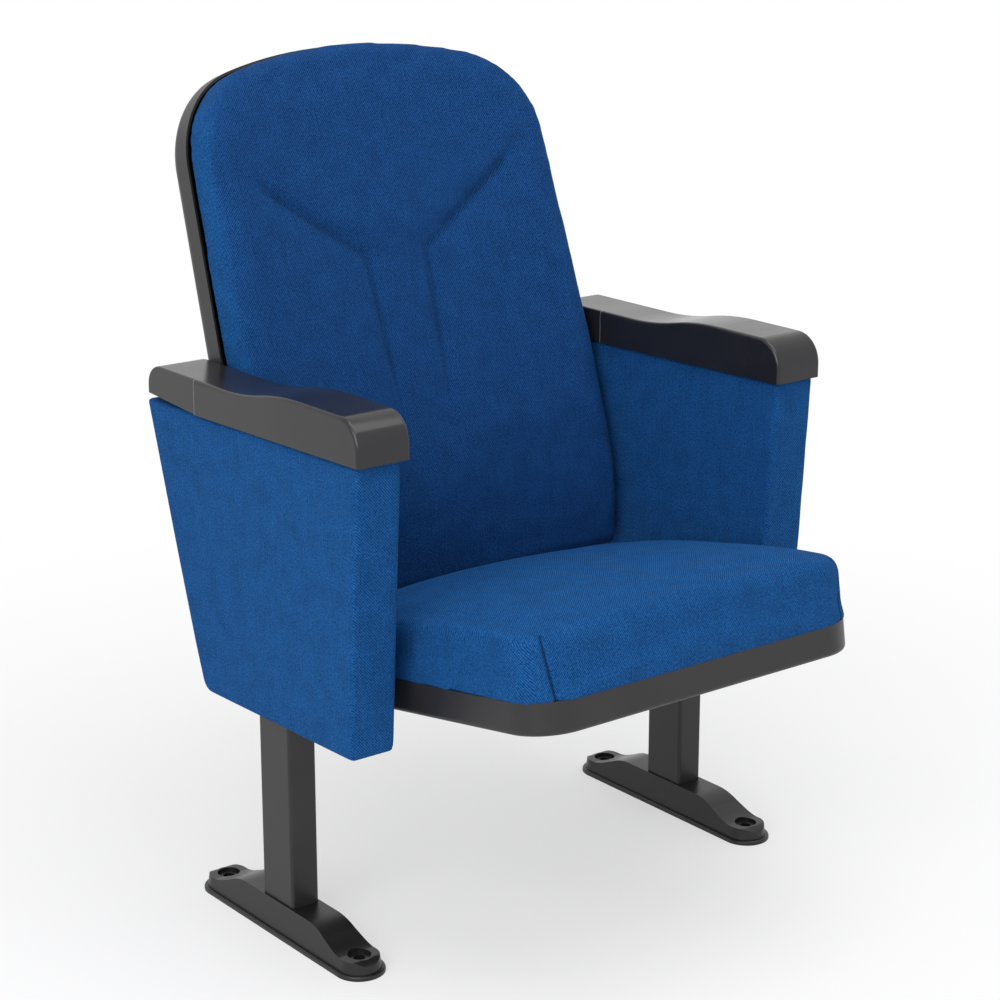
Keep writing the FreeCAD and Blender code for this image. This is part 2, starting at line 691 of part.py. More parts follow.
def make_tray():
    pivot_v, pivot_w = pivot_flat()
    tray = solid_from(seat_plan(0.0, 0.0), V(0, 0, TRAY_HEIGHT))
    tray = rounded(tray, TRAY_EDGE_R, lambda p: p.z < 0.01)
    tray = tray.cut(solid_from(seat_plan(TRAY_WALL, TRAY_WALL), V(0, 0, TRAY_HEIGHT)))
    board_low = TRAY_HEIGHT - BOARD_THICK
    bosses = [rod_z(TRAY_BOSS_R, TRAY_WALL / 2, board_low, x, v) for x, v in tray_screw_places()]
    tray = tray.fuse(bosses).removeSplitter()
    screw_holes = [rod_z(SCREW_R, 0.0, board_low, x, v) for x, v in tray_screw_places()]
    head_holes = [rod_z(SCREW_HEAD_R, 0.0, TRAY_WALL, x, v) for x, v in tray_screw_places()]
    ends = []
    for x0, x1 in ((HINGE_BAND, PANEL_INSIDE), (-PANEL_INSIDE, -HINGE_BAND)):
        ends.append(rod_x(BUSH_FLANGE_R + BUSH_FLANGE_ROOM, x0, x1, pivot_v, pivot_w))
        ends += [rod_x(BOLT_R, x0, x1, pivot_v + dv, pivot_w) for dv in HINGE_BOLTS]
    save("seat_tray", set_seat(tray.cut(screw_holes + head_holes + ends)))

    screws = []
    for x, v in tray_screw_places():
        shank = rod_z(SCREW_R, TRAY_WALL, TRAY_HEIGHT - SCREW_SHORT, x, v)
        head = rod_z(SCREW_HEAD_R, HEAD_SINK, TRAY_WALL, x, v)
        screws.append(set_seat(shank.fuse(head).removeSplitter()))
    save("tray_screws", *screws)


def make_seat_board():
    pivot_v, pivot_w = pivot_flat()
    low = TRAY_HEIGHT - BOARD_THICK
    board = solid_from(seat_plan(TRAY_WALL, low), V(0, 0, BOARD_THICK))
    pockets = [rod_x(BUSH_FLANGE_R + BUSH_FLANGE_ROOM, x0, x1, pivot_v, pivot_w)
               for x0, x1 in ((PIN_END - POCKET_DEPTH, PANEL_INSIDE),
                              (-PANEL_INSIDE, POCKET_DEPTH - PIN_END))]
    nuts = [rod_x(BOLT_HEAD_R + FIT, x0, x1, pivot_v + dv, pivot_w)
            for x0, x1 in ((nut_end() - 1.0, PANEL_INSIDE), (-PANEL_INSIDE, 1.0 - nut_end()))
            for dv in HINGE_BOLTS]
    holes = [rod_z(SCREW_R, low, TRAY_HEIGHT - SCREW_SHORT, x, v) for x, v in tray_screw_places()]
    save("seat_board", set_seat(board.cut(pockets + nuts + holes)))


def nut_end():
    return SEAT_BACK_HALF - TRAY_WALL - ANGLE_THICK - BOLT_HEAD


def make_seat_cushion():
    """Crowned cushion with drawn-in sides, cut from the top's wide curve."""
    bottom = TRAY_HEIGHT
    plan = solid_from(seat_plan(SEAT_PAD_INSET, bottom, SEAT_PAD_DRAW_IN), V(0, 0, FAR))
    tail = box(-SEAT_BACK_HALF + SEAT_PAD_INSET, SEAT_BACK_HALF - SEAT_PAD_INSET,
               SEAT_LENGTH - SEAT_CORNER_R, SEAT_LENGTH + SEAT_PAD_OVERHANG, bottom, FAR)
    plan = plan.fuse(tail).removeSplitter()
    before = -SEAT_CORNER_R
    beyond = SEAT_LENGTH + SEAT_CORNER_R
    side = loop(lambda v, w: V(0, v, w), (before, 0.0), (before, SEAT_PAD_FRONT),
                (SEAT_PAD_KNEE, SEAT_PAD_FRONT),
                ((SEAT_PAD_MID, SEAT_PAD_MIDDLE),
                 (SEAT_LENGTH + SEAT_PAD_OVERHANG, SEAT_PAD_BACK)),
                (beyond, SEAT_PAD_BACK - 10.0), (beyond, 0.0))
    below = V(0, 0, SEAT_PAD_FRONT - SEAT_CROWN_R)
    across = Part.Face(side).rotated(below, V(0, 1, 0), -SEAT_SWEEP / 2)
    top = across.revolve(below, V(0, 1, 0), SEAT_SWEEP)
    pad = plan.common(top).removeSplitter()
    pad = pad.makeFillet(SEAT_PAD_EDGE_R, rim_edges(pad, V(0, 0, 1)))
    save("seat_cushion", set_seat(pad))


def make_hinges():
    pivot_v, pivot_w = pivot_flat()
    face = SEAT_BACK_HALF
    _, spring_socket = torsion_spring()
    plate = box(face, hinge_face(), pivot_v - HINGE_FRONT, pivot_v + HINGE_BACK,
                HINGE_LOW, TRAY_HEIGHT - HINGE_TOP_DROP)
    plate = rounded(plate, HINGE_CORNER_R, lambda p: abs(p.x - face - HINGE_THICK / 2) < 0.01)
    plate = plate.cut([rod_x(BOLT_R, HINGE_BAND, PANEL_INSIDE, pivot_v + dv, pivot_w) for dv in HINGE_BOLTS])
    plate = set_seat(plate.cut(rod_x(PIN_R + BUSH_WALL, HINGE_BAND, PANEL_INSIDE, pivot_v, pivot_w)))
    stud = at_stop(STOP_STUD_R, STOP_START, face, stop_end())
    plate = plate.cut(spring_socket)
    save_pair("hinge_plate", plate.fuse(stud).removeSplitter())

    sleeve = at_stop(STOP_SLEEVE_R, STOP_START, hinge_face(), stop_end())
    sleeve = sleeve.cut(at_stop(STOP_STUD_R, STOP_START, hinge_face(), stop_end()))
    save("stop_sleeves", sleeve, mirrored(sleeve))

    outer = PIN_R + BUSH_WALL
    bush = rod_x(outer, face, hinge_face() + FIT, PIVOT_Y, PIVOT_Z)
    bush = bush.fuse(rod_x(BUSH_FLANGE_R, face - BUSH_FLANGE_THICK, face, PIVOT_Y, PIVOT_Z))
    bush = bush.cut(rod_x(PIN_R + BUSH_CLEARANCE, HINGE_BAND, PANEL_INSIDE, PIVOT_Y, PIVOT_Z))
    bush = bush.cut(spring_socket)
    save_pair("pivot_bush", bush.removeSplitter())

    wall = face - TRAY_WALL
    high = TRAY_HEIGHT - BOARD_THICK
    v0 = pivot_v - HINGE_FRONT
    v1 = pivot_v + HINGE_BACK
    angle = box(wall - ANGLE_THICK, wall, v0, v1, TRAY_WALL + HINGE_LOW, high)
    angle = angle.fuse(box(wall - ANGLE_WIDTH, wall, v0, v1, high - ANGLE_THICK, high))
    angle = angle.removeSplitter()
    relief = rod_x(BUSH_FLANGE_R + BUSH_FLANGE_ROOM, PIN_END - POCKET_DEPTH, wall + 1.0, pivot_v, pivot_w)
    holes = [rod_x(BOLT_R, HINGE_BAND, PANEL_INSIDE, pivot_v + dv, pivot_w) for dv in HINGE_BOLTS]
    nuts = [rod_x(BOLT_HEAD_R + FIT, nut_end() - 1.0, wall - ANGLE_THICK, pivot_v + dv, pivot_w)
            for dv in HINGE_BOLTS]
    save_pair("hinge_angle", set_seat(angle.cut([relief] + holes + nuts)))

    bolts = []
    for dv in HINGE_BOLTS:
        bolt = rod_x(BOLT_R, nut_end(), hinge_face(), pivot_v + dv, pivot_w)
        head = rod_x(BOLT_HEAD_R, hinge_face(), hinge_face() + BOLT_HEAD, pivot_v + dv, pivot_w)
        nut = rod_x(BOLT_HEAD_R, nut_end(), wall - ANGLE_THICK, pivot_v + dv, pivot_w)
        bolts.append(set_seat(bolt.fuse([head, nut]).removeSplitter()))
    save_pair("hinge_bolts", *bolts)


def stop_end():
    return TUBE_IN - CUP_FLOOR - 2.0


def make_springs():
    coil, _ = torsion_spring()
    print("spring gap between turns", round(SPRING_PITCH - 2 * SPRING_WIRE_R, 3))
    save_pair("tip_spring", coil)


# Backrest: laid out as d behind the front surface and s up its slope


def back_at(s, d, x=0.0):
    up = V(0, math.sin(LEAN), math.cos(LEAN))
    rear = V(0, math.cos(LEAN), -math.sin(LEAN))
    return V(x, BACK_REF_Y, BACK_REF_Z) + up * s + rear * d


def back_turned(shape, x):
    """Swing a piece made at the centre round the back's wrap to a place across it."""
    angle = math.degrees(math.asin(x / BACK_WRAP_R))
    return shape.rotated(back_at(0.0, -BACK_WRAP_R), V(0, math.sin(LEAN), math.cos(LEAN)), -angle)


def back_profile(d):
    """Points of the centre line at a depth: bottom, bend start, bend middle, bend end, top."""
    meet_z = BACK_REF_Z + (BACK_FOOT_Y - BACK_REF_Y) / math.tan(LEAN)
    bend_z = meet_z - BACK_BEND_R * math.tan(LEAN / 2)
    centre = V(0, BACK_FOOT_Y + BACK_BEND_R, bend_z)
    r = BACK_BEND_R - d
    arc = [centre + V(0, -r * math.cos(t), r * math.sin(t)) for t in (0.0, LEAN / 2, LEAN)]
    return [V(0, BACK_FOOT_Y + d, BACK_BOTTOM)] + arc + [back_at(BACK_TOP + BACK_SPARE, d)]


def back_slab(d0, d1, lift=0.0):
    """The wrapped and bent slab between two depths, wider and taller than the back."""
    front = back_profile(d0)
    rear = back_profile(d1)
    rise = V(0, 0, lift)
    front[0] += rise
    rear[0] += rise
    edges = [Part.makeLine(front[0], front[1]), Part.Arc(*front[1:4]).toShape(),
             Part.makeLine(front[3], front[4]), Part.makeLine(front[4], rear[4]),
             Part.makeLine(rear[4], rear[3]), Part.Arc(rear[3], rear[2], rear[1]).toShape(),
             Part.makeLine(rear[1], rear[0]), Part.makeLine(rear[0], front[0])]
    face = Part.Face(Part.Wire(edges))
    hub = back_at(0.0, -BACK_WRAP_R)
    up = V(0, math.sin(LEAN), math.cos(LEAN))
    return face.rotated(hub, up, -BACK_SWEEP / 2).revolve(hub, up, BACK_SWEEP)


def back_outline(inset):
    """Outline seen square to the back: upright sides, round shoulders and a bowed top."""
    tilt = math.atan(BACK_SIDE_TAPER)
    r = BACK_CORNER_R
    bow_s = BACK_TOP - BACK_BOW_R
    edge = BACK_SIDE_HALF - r / math.cos(tilt)
    k = BACK_SIDE_TAPER
    a = 1 + k * k
    b = -2 * k * edge - 2 * bow_s
    c = edge * edge + bow_s * bow_s - (BACK_BOW_R - r) ** 2
    cs = (-b + math.sqrt(b * b - 4 * a * c)) / (2 * a)
    cx = edge - k * cs
    side_touch = (cx + r * math.cos(tilt), cs + r * math.sin(tilt))
    bow_dir = math.atan2(cx, cs - bow_s)
    bow_touch = (BACK_BOW_R * math.sin(bow_dir), bow_s + BACK_BOW_R * math.cos(bow_dir))
    mid_dir = (bow_dir + math.pi / 2 - tilt) / 2
    mid = (cx + r * math.sin(mid_dir), cs + r * math.cos(mid_dir))
    waist_s = (BACK_SIDE_HALF - BACK_LOW_HALF) / k
    right = [(BACK_LOW_HALF, BACK_CUT_LOW), (BACK_LOW_HALF, waist_s), side_touch, mid, bow_touch]
    left = [(-x, s) for x, s in right]
    wire = loop(lambda x, s: back_at(s, BACK_CUT_FRONT, x), right[0], right[1], right[2],
                (right[3], right[4]), ((0.0, BACK_TOP), left[4]), (left[3], left[2]),
                left[1], left[0])
    if inset:
        wire = wire.makeOffset2D(-inset, 2)
    return wire


def back_prism(inset):
    rear = V(0, math.cos(LEAN), -math.sin(LEAN))
    return solid_from(back_outline(inset), rear * FAR)


def back_screw_places():
    return [(x, s) for s in SHELL_SCREW_S for x in SHELL_SCREW_X]


def back_rod(radius, x, s, d0, d1):
    rear = V(0, math.cos(LEAN), -math.sin(LEAN))
    return back_turned(Part.makeCylinder(radius, d1 - d0, back_at(s, d0), rear), x)


def bracket_ear(grow):
    """The flat ear that lies behind the back board and reaches into the panel."""
    board = BACK_THICK
    up = V(0, math.sin(LEAN), math.cos(LEAN))
    rear = V(0, math.cos(LEAN), -math.sin(LEAN))
    low = back_at(EAR_LOW - grow, board + EAR_GAP - grow)
    wide = V(1, 0, 0)
    reach = EAR_OUT + grow
    wire = Part.makePolygon([low - wide * EAR_IN, low + wide * reach,
                             low + wide * reach + up * (EAR_HIGH - EAR_LOW + 2 * grow),
                             low - wide * EAR_IN + up * (EAR_HIGH - EAR_LOW + 2 * grow),
                             low - wide * EAR_IN])
    plate = Part.Face(wire).extrude(rear * (EAR_THICK + 2 * grow))
    return back_turned(plate, EAR_CENTRE)


def make_back_brackets():
    ear = bracket_ear(0.0)
    web = box(LEG_X - BRACKET_THICK, LEG_X, TUBE_DEPTH / 2, WEB_BACK, WEB_LOW, WEB_HIGH)
    bracket = ear.fuse(web).removeSplitter()
    shaft = [back_rod(BOLT_R, EAR_CENTRE, s, 0.0, FAR) for s in EAR_BOLTS]
    save_pair("back_bracket", bracket.cut(shaft))
    seat = BACK_THICK + EAR_GAP + EAR_THICK
    bolts = []
    for s in EAR_BOLTS:
        shank = back_rod(BOLT_R, EAR_CENTRE, s, BACK_THICK - BACK_BOARD + 1.0, seat)
        head = back_rod(BOLT_HEAD_R, EAR_CENTRE, s, seat, seat + BOLT_HEAD)
        bolts.append(shank.fuse(head).removeSplitter())
    save_pair("back_bolts", *bolts)


def channels(side):
    """Strips cut into the front surface where a sewn line runs down, bends and runs on."""
    half = CHANNEL_WIDTH / 2
    corners = [CHANNEL_TOP, CHANNEL_KNEE, CHANNEL_LOW]
    ways = []
    for here, there in zip(corners, corners[1:]):
        length = math.hypot(there[0] - here[0], there[1] - here[1])
        ways.append(((there[0] - here[0]) / length, (there[1] - here[1]) / length))
    bend = (ways[0][0] + ways[1][0], ways[0][1] + ways[1][1])
    bend_length = math.hypot(*bend)
    ways.insert(1, (bend[0] / bend_length, bend[1] / bend_length))
    outer = []
    inner = []
    for (x, s), (wx, ws) in zip(corners, ways):
        outer.append((side * (x - ws * half), s + wx * half))
        inner.append((side * (x + ws * half), s - wx * half))
    points = outer + inner[::-1]
    strip = loop(lambda x, s: back_at(s, BACK_CUT_FRONT, x), points[0], *points[1:])
    strip = solid_from(strip, V(0, math.cos(LEAN), -math.sin(LEAN)) * FAR)
    return strip.common(back_slab(-CHANNEL_DEPTH, CHANNEL_DEPTH))


def make_back():
    board = back_slab(BACK_THICK - BACK_BOARD, BACK_THICK, BACK_BOARD_INSET)
    board = board.common(back_prism(BACK_BOARD_INSET)).removeSplitter()
    toward = V(0, -math.cos(LEAN), math.sin(LEAN))
    pad = back_slab(0.0, BACK_THICK).common(back_prism(0.0)).removeSplitter()
    pad = pad.makeFillet(BACK_EDGE_R, rim_edges(pad, toward))
    pad = pad.cut(board)
    save("back_cushion", pad.cut([channels(1.0), channels(-1.0)]))

    deep = BACK_THICK - BACK_BOARD
    holes = [back_rod(SCREW_R, x, s, deep + SCREW_SHORT, FAR) for x, s in back_screw_places()]
    bolts = [back_rod(BOLT_R, side * EAR_CENTRE, s, deep + 1.0, FAR)
             for s in EAR_BOLTS for side in (1.0, -1.0)]
    save("back_board", board.cut(holes + bolts))
    make_shell()


def make_shell():
    rear = V(0, math.cos(LEAN), -math.sin(LEAN))
    outside = BACK_THICK + SHELL_DEPTH
    shell = back_slab(BACK_THICK, outside).common(back_prism(-SHELL_PROUD)).removeSplitter()
    shell = shell.makeFillet(SHELL_EDGE_R, rim_edges(shell, rear))
    inside = outside - SHELL_WALL
    room = back_slab(BACK_THICK - 1.0, inside, SHELL_WALL)
    room = room.common(back_prism(SHELL_WALL - SHELL_PROUD)).removeSplitter()
    room = room.makeFillet(SHELL_EDGE_R - SHELL_WALL, rim_edges(room, rear))
    shell = shell.cut(room)
    bosses = [back_rod(SHELL_BOSS_R, x, s, BACK_THICK, inside + 1.0) for x, s in back_screw_places()]
    holes = [back_rod(SCREW_R, x, s, BACK_THICK, FAR) for x, s in back_screw_places()]
    sinks = [back_rod(SCREW_HEAD_R, x, s, inside, FAR) for x, s in back_screw_places()]
    ear = bracket_ear(FIT)
    shell = shell.fuse(bosses).cut(holes + sinks + [ear, mirrored(ear)])
    save("back_shell", max(shell.Solids, key=lambda s: s.Volume))
    screws = []
    for x, s in back_screw_places():
        shank = back_rod(SCREW_R, x, s, BACK_THICK - BACK_BOARD + SCREW_SHORT, inside)
        head = back_rod(SCREW_HEAD_R, x, s, inside, outside - HEAD_SINK)
        screws.append(shank.fuse(head).removeSplitter())
    save("shell_screws", *screws)


os.makedirs("parts", exist_ok=True)
make_feet()
make_legs()
make_panels()
make_carriers()
make_armrests()
make_pivots()
make_springs()
make_tray()
make_seat_board()
make_seat_cushion()
make_hinges()
make_back()
make_back_brackets()
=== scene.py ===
"""Dressed model of a tip-up auditorium seat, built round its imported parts.

The padded pieces are simulated cloth over the shapes that the parts give, the side
panels are modelled as upholstered boxes, and the rigid parts get their finishes.
"""
import math

import bmesh
import bpy
import numpy as np
from bpy.props import FloatProperty, FloatVectorProperty, IntProperty, PointerProperty
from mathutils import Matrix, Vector


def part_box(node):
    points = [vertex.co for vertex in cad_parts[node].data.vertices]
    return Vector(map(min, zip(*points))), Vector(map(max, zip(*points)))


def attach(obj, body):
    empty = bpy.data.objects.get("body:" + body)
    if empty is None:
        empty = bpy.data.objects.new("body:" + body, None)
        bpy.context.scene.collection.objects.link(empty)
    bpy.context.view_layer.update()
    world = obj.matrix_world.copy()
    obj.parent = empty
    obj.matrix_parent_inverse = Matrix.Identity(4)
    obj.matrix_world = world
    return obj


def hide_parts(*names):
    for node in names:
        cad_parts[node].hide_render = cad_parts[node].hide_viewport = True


bl_info = {
    "name": "Auditorium Seat",
    "version": (1, 0, 0),
    "blender": (4, 5, 0),
    "location": "3D View > Sidebar > Seat",
    "description": "Dresses a tip-up auditorium seat with cushions, upholstery and finishes",
    "category": "Add Mesh",
}

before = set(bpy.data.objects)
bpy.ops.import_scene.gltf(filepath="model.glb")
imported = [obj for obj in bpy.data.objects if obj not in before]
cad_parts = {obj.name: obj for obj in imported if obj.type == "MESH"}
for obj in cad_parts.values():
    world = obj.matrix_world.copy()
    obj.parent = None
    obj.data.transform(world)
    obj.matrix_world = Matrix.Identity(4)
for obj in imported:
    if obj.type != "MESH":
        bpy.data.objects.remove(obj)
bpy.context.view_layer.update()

# All lengths are in metres and all angles in radians. The places of the padded parts
# are the ones that the part's source sets out.

# Seat cushion: the tray's front lower edge, its slope, and its rim over its bottom
SEAT_FRONT = Vector((0.0, -0.3706, 0.3237))
SEAT_SLOPE = math.radians(8.53)
TRAY_RIM = 0.0356
SEAT_HELD = 0.006
SEAT_SHRINK = 0.4
TUCK_HEIGHT = 0.014
TUCK_OUT = 0.0012
TUCK_DOWN = 0.0022

# Corner seams: the corner's centre (across, back), then (height, angle) at foot and head
SEAM_CENTRE = (0.1752, 0.053)
SEAM_FOOT = (0.036, math.radians(27.0))
SEAM_HEAD = (0.101, math.radians(39.0))
SEAM_REACH = 0.03
SEAM_FINE = 0.009

# Back cushion: a point on its front, its lean, the radius of its wrap, its thickness
BACK_AT = Vector((0.0, 0.146, 0.600))
BACK_LEAN = math.radians(18.6)
BACK_WRAP = 1.1
BACK_THICK = 0.046
BACK_HELD = 0.008
BACK_SHRINK = 0.3
REAR_RIM = 0.022
FRONT_FACE = 0.010

# Sewn channels: corners as (across, up the slope), and distances from the line
CHANNEL_TOP = (0.170, 0.199)
CHANNEL_KNEE = (0.043, 0.112)
CHANNEL_LOW = (0.033, -0.100)
CHANNEL_DEPTH = 0.03
CHANNEL_SMOOTH = 0.016
CHANNEL_HELD = 0.004
CHANNEL_KEPT = 0.012
CHANNEL_FINE = 0.014
CHANNEL_END = -0.115
CHANNEL_FADE = 0.12
CHANNEL_LIFT = 0.008

# What both cushions share: how soon the cloth comes loose from where it is held, how
# far the simulation may draw it in, and the distance of points that no seam reaches
PAD_EASE = 0.02
DRAW_IN = 0.0005
FAR_OFF = 1.0

# How far a face has to be turned, as a share of its normal, to count as a side or a
# face of its own, and to count as the back cushion's rim, with the width of the blend
SIDE_TURN = 0.75
FACE_TURN = 0.8
RIM_TURN = 0.85
RIM_BLEND = 0.2

# Side panels: corners as (y, z), and where the padding stands full
PANEL_CORNERS = ((-0.188, 0.580), (-0.1687, 0.2605), (0.119, 0.2543), (0.222, 0.571))
PANEL_REACH = ((-0.19, 0.22), (0.255, 0.585))
PANEL_GRAIN = 0.004
PANEL_FADE = 0.06
PANEL_FULL = 0.0009
PANEL_SKIN = 0.003
HEEL_ROUND = 0.012
LEG_SLOT = (0.25, 0.10)
LEG_PLAY = 0.001
CUP_SLOT = (0.262, 0.05)
CUP_PLAY = 0.0004

# Armrests: the upright edge of the step near the rear, and the half width of the painted
# highlight along it
ARM_STEP = 0.1154
STEP_HIGHLIGHT = 0.0009

# Stage
FLOOR_RADIUS = 30.0
CAMERA_AT = (-1.6672, -2.1503, 1.2483)
CAMERA_AZIMUTH = math.radians(-37.96)
CAMERA_ELEVATION = math.radians(16.415)
CAMERA_LENS = 89.80

# A wave texture's scale is this over the distance between its bands
ONE_BAND = 0.314
# Sockets of a colour mix, which have no names of their own
MIX_SHARE, MIX_A, MIX_B, MIX_OUT = 0, 6, 7, 2
WHITE = (1.0, 1.0, 1.0, 1.0)


# Sizes and colours that a user would change


class FabricSettings(bpy.types.PropertyGroup):
    colour: FloatVectorProperty(
        name="Colour", description="Main colour of the upholstery cloth",
        default=(0.0150, 0.1080, 0.3150), subtype="COLOR", min=0.0, max=1.0)
    dark_colour: FloatVectorProperty(
        name="Dark yarn", description="Colour between the ribs of the weave",
        default=(0.0010, 0.0260, 0.1200), subtype="COLOR", min=0.0, max=1.0)
    # Painted shade on the back cushion's front: the cloth colour there is multiplied by this,
    # and the faces turned left or right keep the full colour
    back_shade_tone: FloatVectorProperty(
        name="Back tone", description="How much light the brushed cloth of the back gives",
        default=(0.85, 0.69, 0.74), subtype="COLOR", min=0.0, max=1.0)
    rib_pitch: FloatProperty(
        name="Rib pitch", description="Distance between two diagonal ribs of the twill",
        default=0.0022, unit="LENGTH", min=0.0005, max=0.02)
    relief: FloatProperty(
        name="Relief", description="How far the ribs stand up",
        default=0.00035, unit="LENGTH", min=0.0, max=0.003)


class CushionSettings(bpy.types.PropertyGroup):
    grain: FloatProperty(
        name="Cloth grid", description="Size of the cloth faces before they are halved",
        default=0.006, unit="LENGTH", min=0.003, max=0.02)
    pressure: FloatProperty(
        name="Pressure", description="How hard the filling pushes the cloth out",
        default=4.0, min=0.0, max=20.0)
    seat_swell: FloatProperty(
        name="Seat swell", description="Farthest that the seat's cloth may move out",
        default=0.006, unit="LENGTH", min=0.0, max=0.03)
    back_swell: FloatProperty(
        name="Back swell", description="Farthest that the back's cloth may move out",
        default=0.005, unit="LENGTH", min=0.0, max=0.03)
    steps: IntProperty(
        name="Steps", description="Frames that the cloth is simulated for",
        default=20, min=1, max=60)


class PanelSettings(bpy.types.PropertyGroup):
    inside: FloatProperty(
        name="Inside", description="Distance from the middle to a panel's inner side",
        default=0.260, unit="LENGTH")
    width: FloatProperty(
        name="Width", description="Width of a side panel",
        default=0.0572, unit="LENGTH")
    edge: FloatProperty(
        name="Edge radius", description="Roundness of the panel's padded edges",
        default=0.0055, unit="LENGTH")
    cloth: FloatProperty(
        name="Cloth thickness", description="Thickness of the wadding and cloth",
        default=0.0022, unit="LENGTH")


class StageSettings(bpy.types.PropertyGroup):
    floor_colour: FloatVectorProperty(
        name="Floor", description="Colour of the floor",
        default=(0.86, 0.86, 0.87), subtype="COLOR", min=0.0, max=1.0)
    sky: FloatProperty(
        name="Room light", description="Strength of the even light from all round",
        default=0.62, min=0.0, max=4.0)
    key: FloatProperty(
        name="Key light", description="Power of the large soft light on the left",
        default=60.0, min=0.0, max=1000.0)
    top: FloatProperty(
        name="Top light", description="Power of the soft light overhead",
        default=45.0, min=0.0, max=1000.0)


# Material helpers. An owner is a material or the world.


def node_of(owner, kind, place, inputs=None, **settings):
    """Add one shader node, with its settings and the values of its inputs."""
    node = owner.node_tree.nodes.new(kind)
    node.location = place
    for name, value in settings.items():
        setattr(node, name, value)
    for name, value in (inputs or {}).items():
        node.inputs[name].default_value = value
    return node


def link(owner, source, target):
    owner.node_tree.links.new(source, target)


def shader_of(material):
    return material.node_tree.nodes["Principled BSDF"]


def blank(name):
    """A new node material and its shader, or one made before, without its shader."""
    material = bpy.data.materials.get(name)
    if material:
        return material, None
    material = bpy.data.materials.new(name)
    material.use_nodes = True
    return material, shader_of(material)


def grey(material, place, value):
    """Turn one value into a colour."""
    colour = node_of(material, "ShaderNodeCombineColor", place)
    for channel in ("Red", "Green", "Blue"):
        link(material, value, colour.inputs[channel])
    return colour.outputs["Color"]


def times(material, place, first, second):
    """Multiply two colours."""
    product = node_of(material, "ShaderNodeMix", place, data_type="RGBA",
                      blend_type="MULTIPLY")
    product.inputs[MIX_SHARE].default_value = 1.0
    link(material, first, product.inputs[MIX_A])
    link(material, second, product.inputs[MIX_B])
    return product.outputs[MIX_OUT]


def sideways(material, place):
    """How far a face turns to the left or right, from 0 to 1."""
    x, y = place
    spot = node_of(material, "ShaderNodeTexCoord", (x, y))
    facing = node_of(material, "ShaderNodeSeparateXYZ", (x + 180, y))
    side = node_of(material, "ShaderNodeMath", (x + 360, y), operation="ABSOLUTE")
    link(material, spot.outputs["Normal"], facing.inputs["Vector"])
    link(material, facing.outputs["X"], side.inputs[0])
    return side.outputs["Value"]


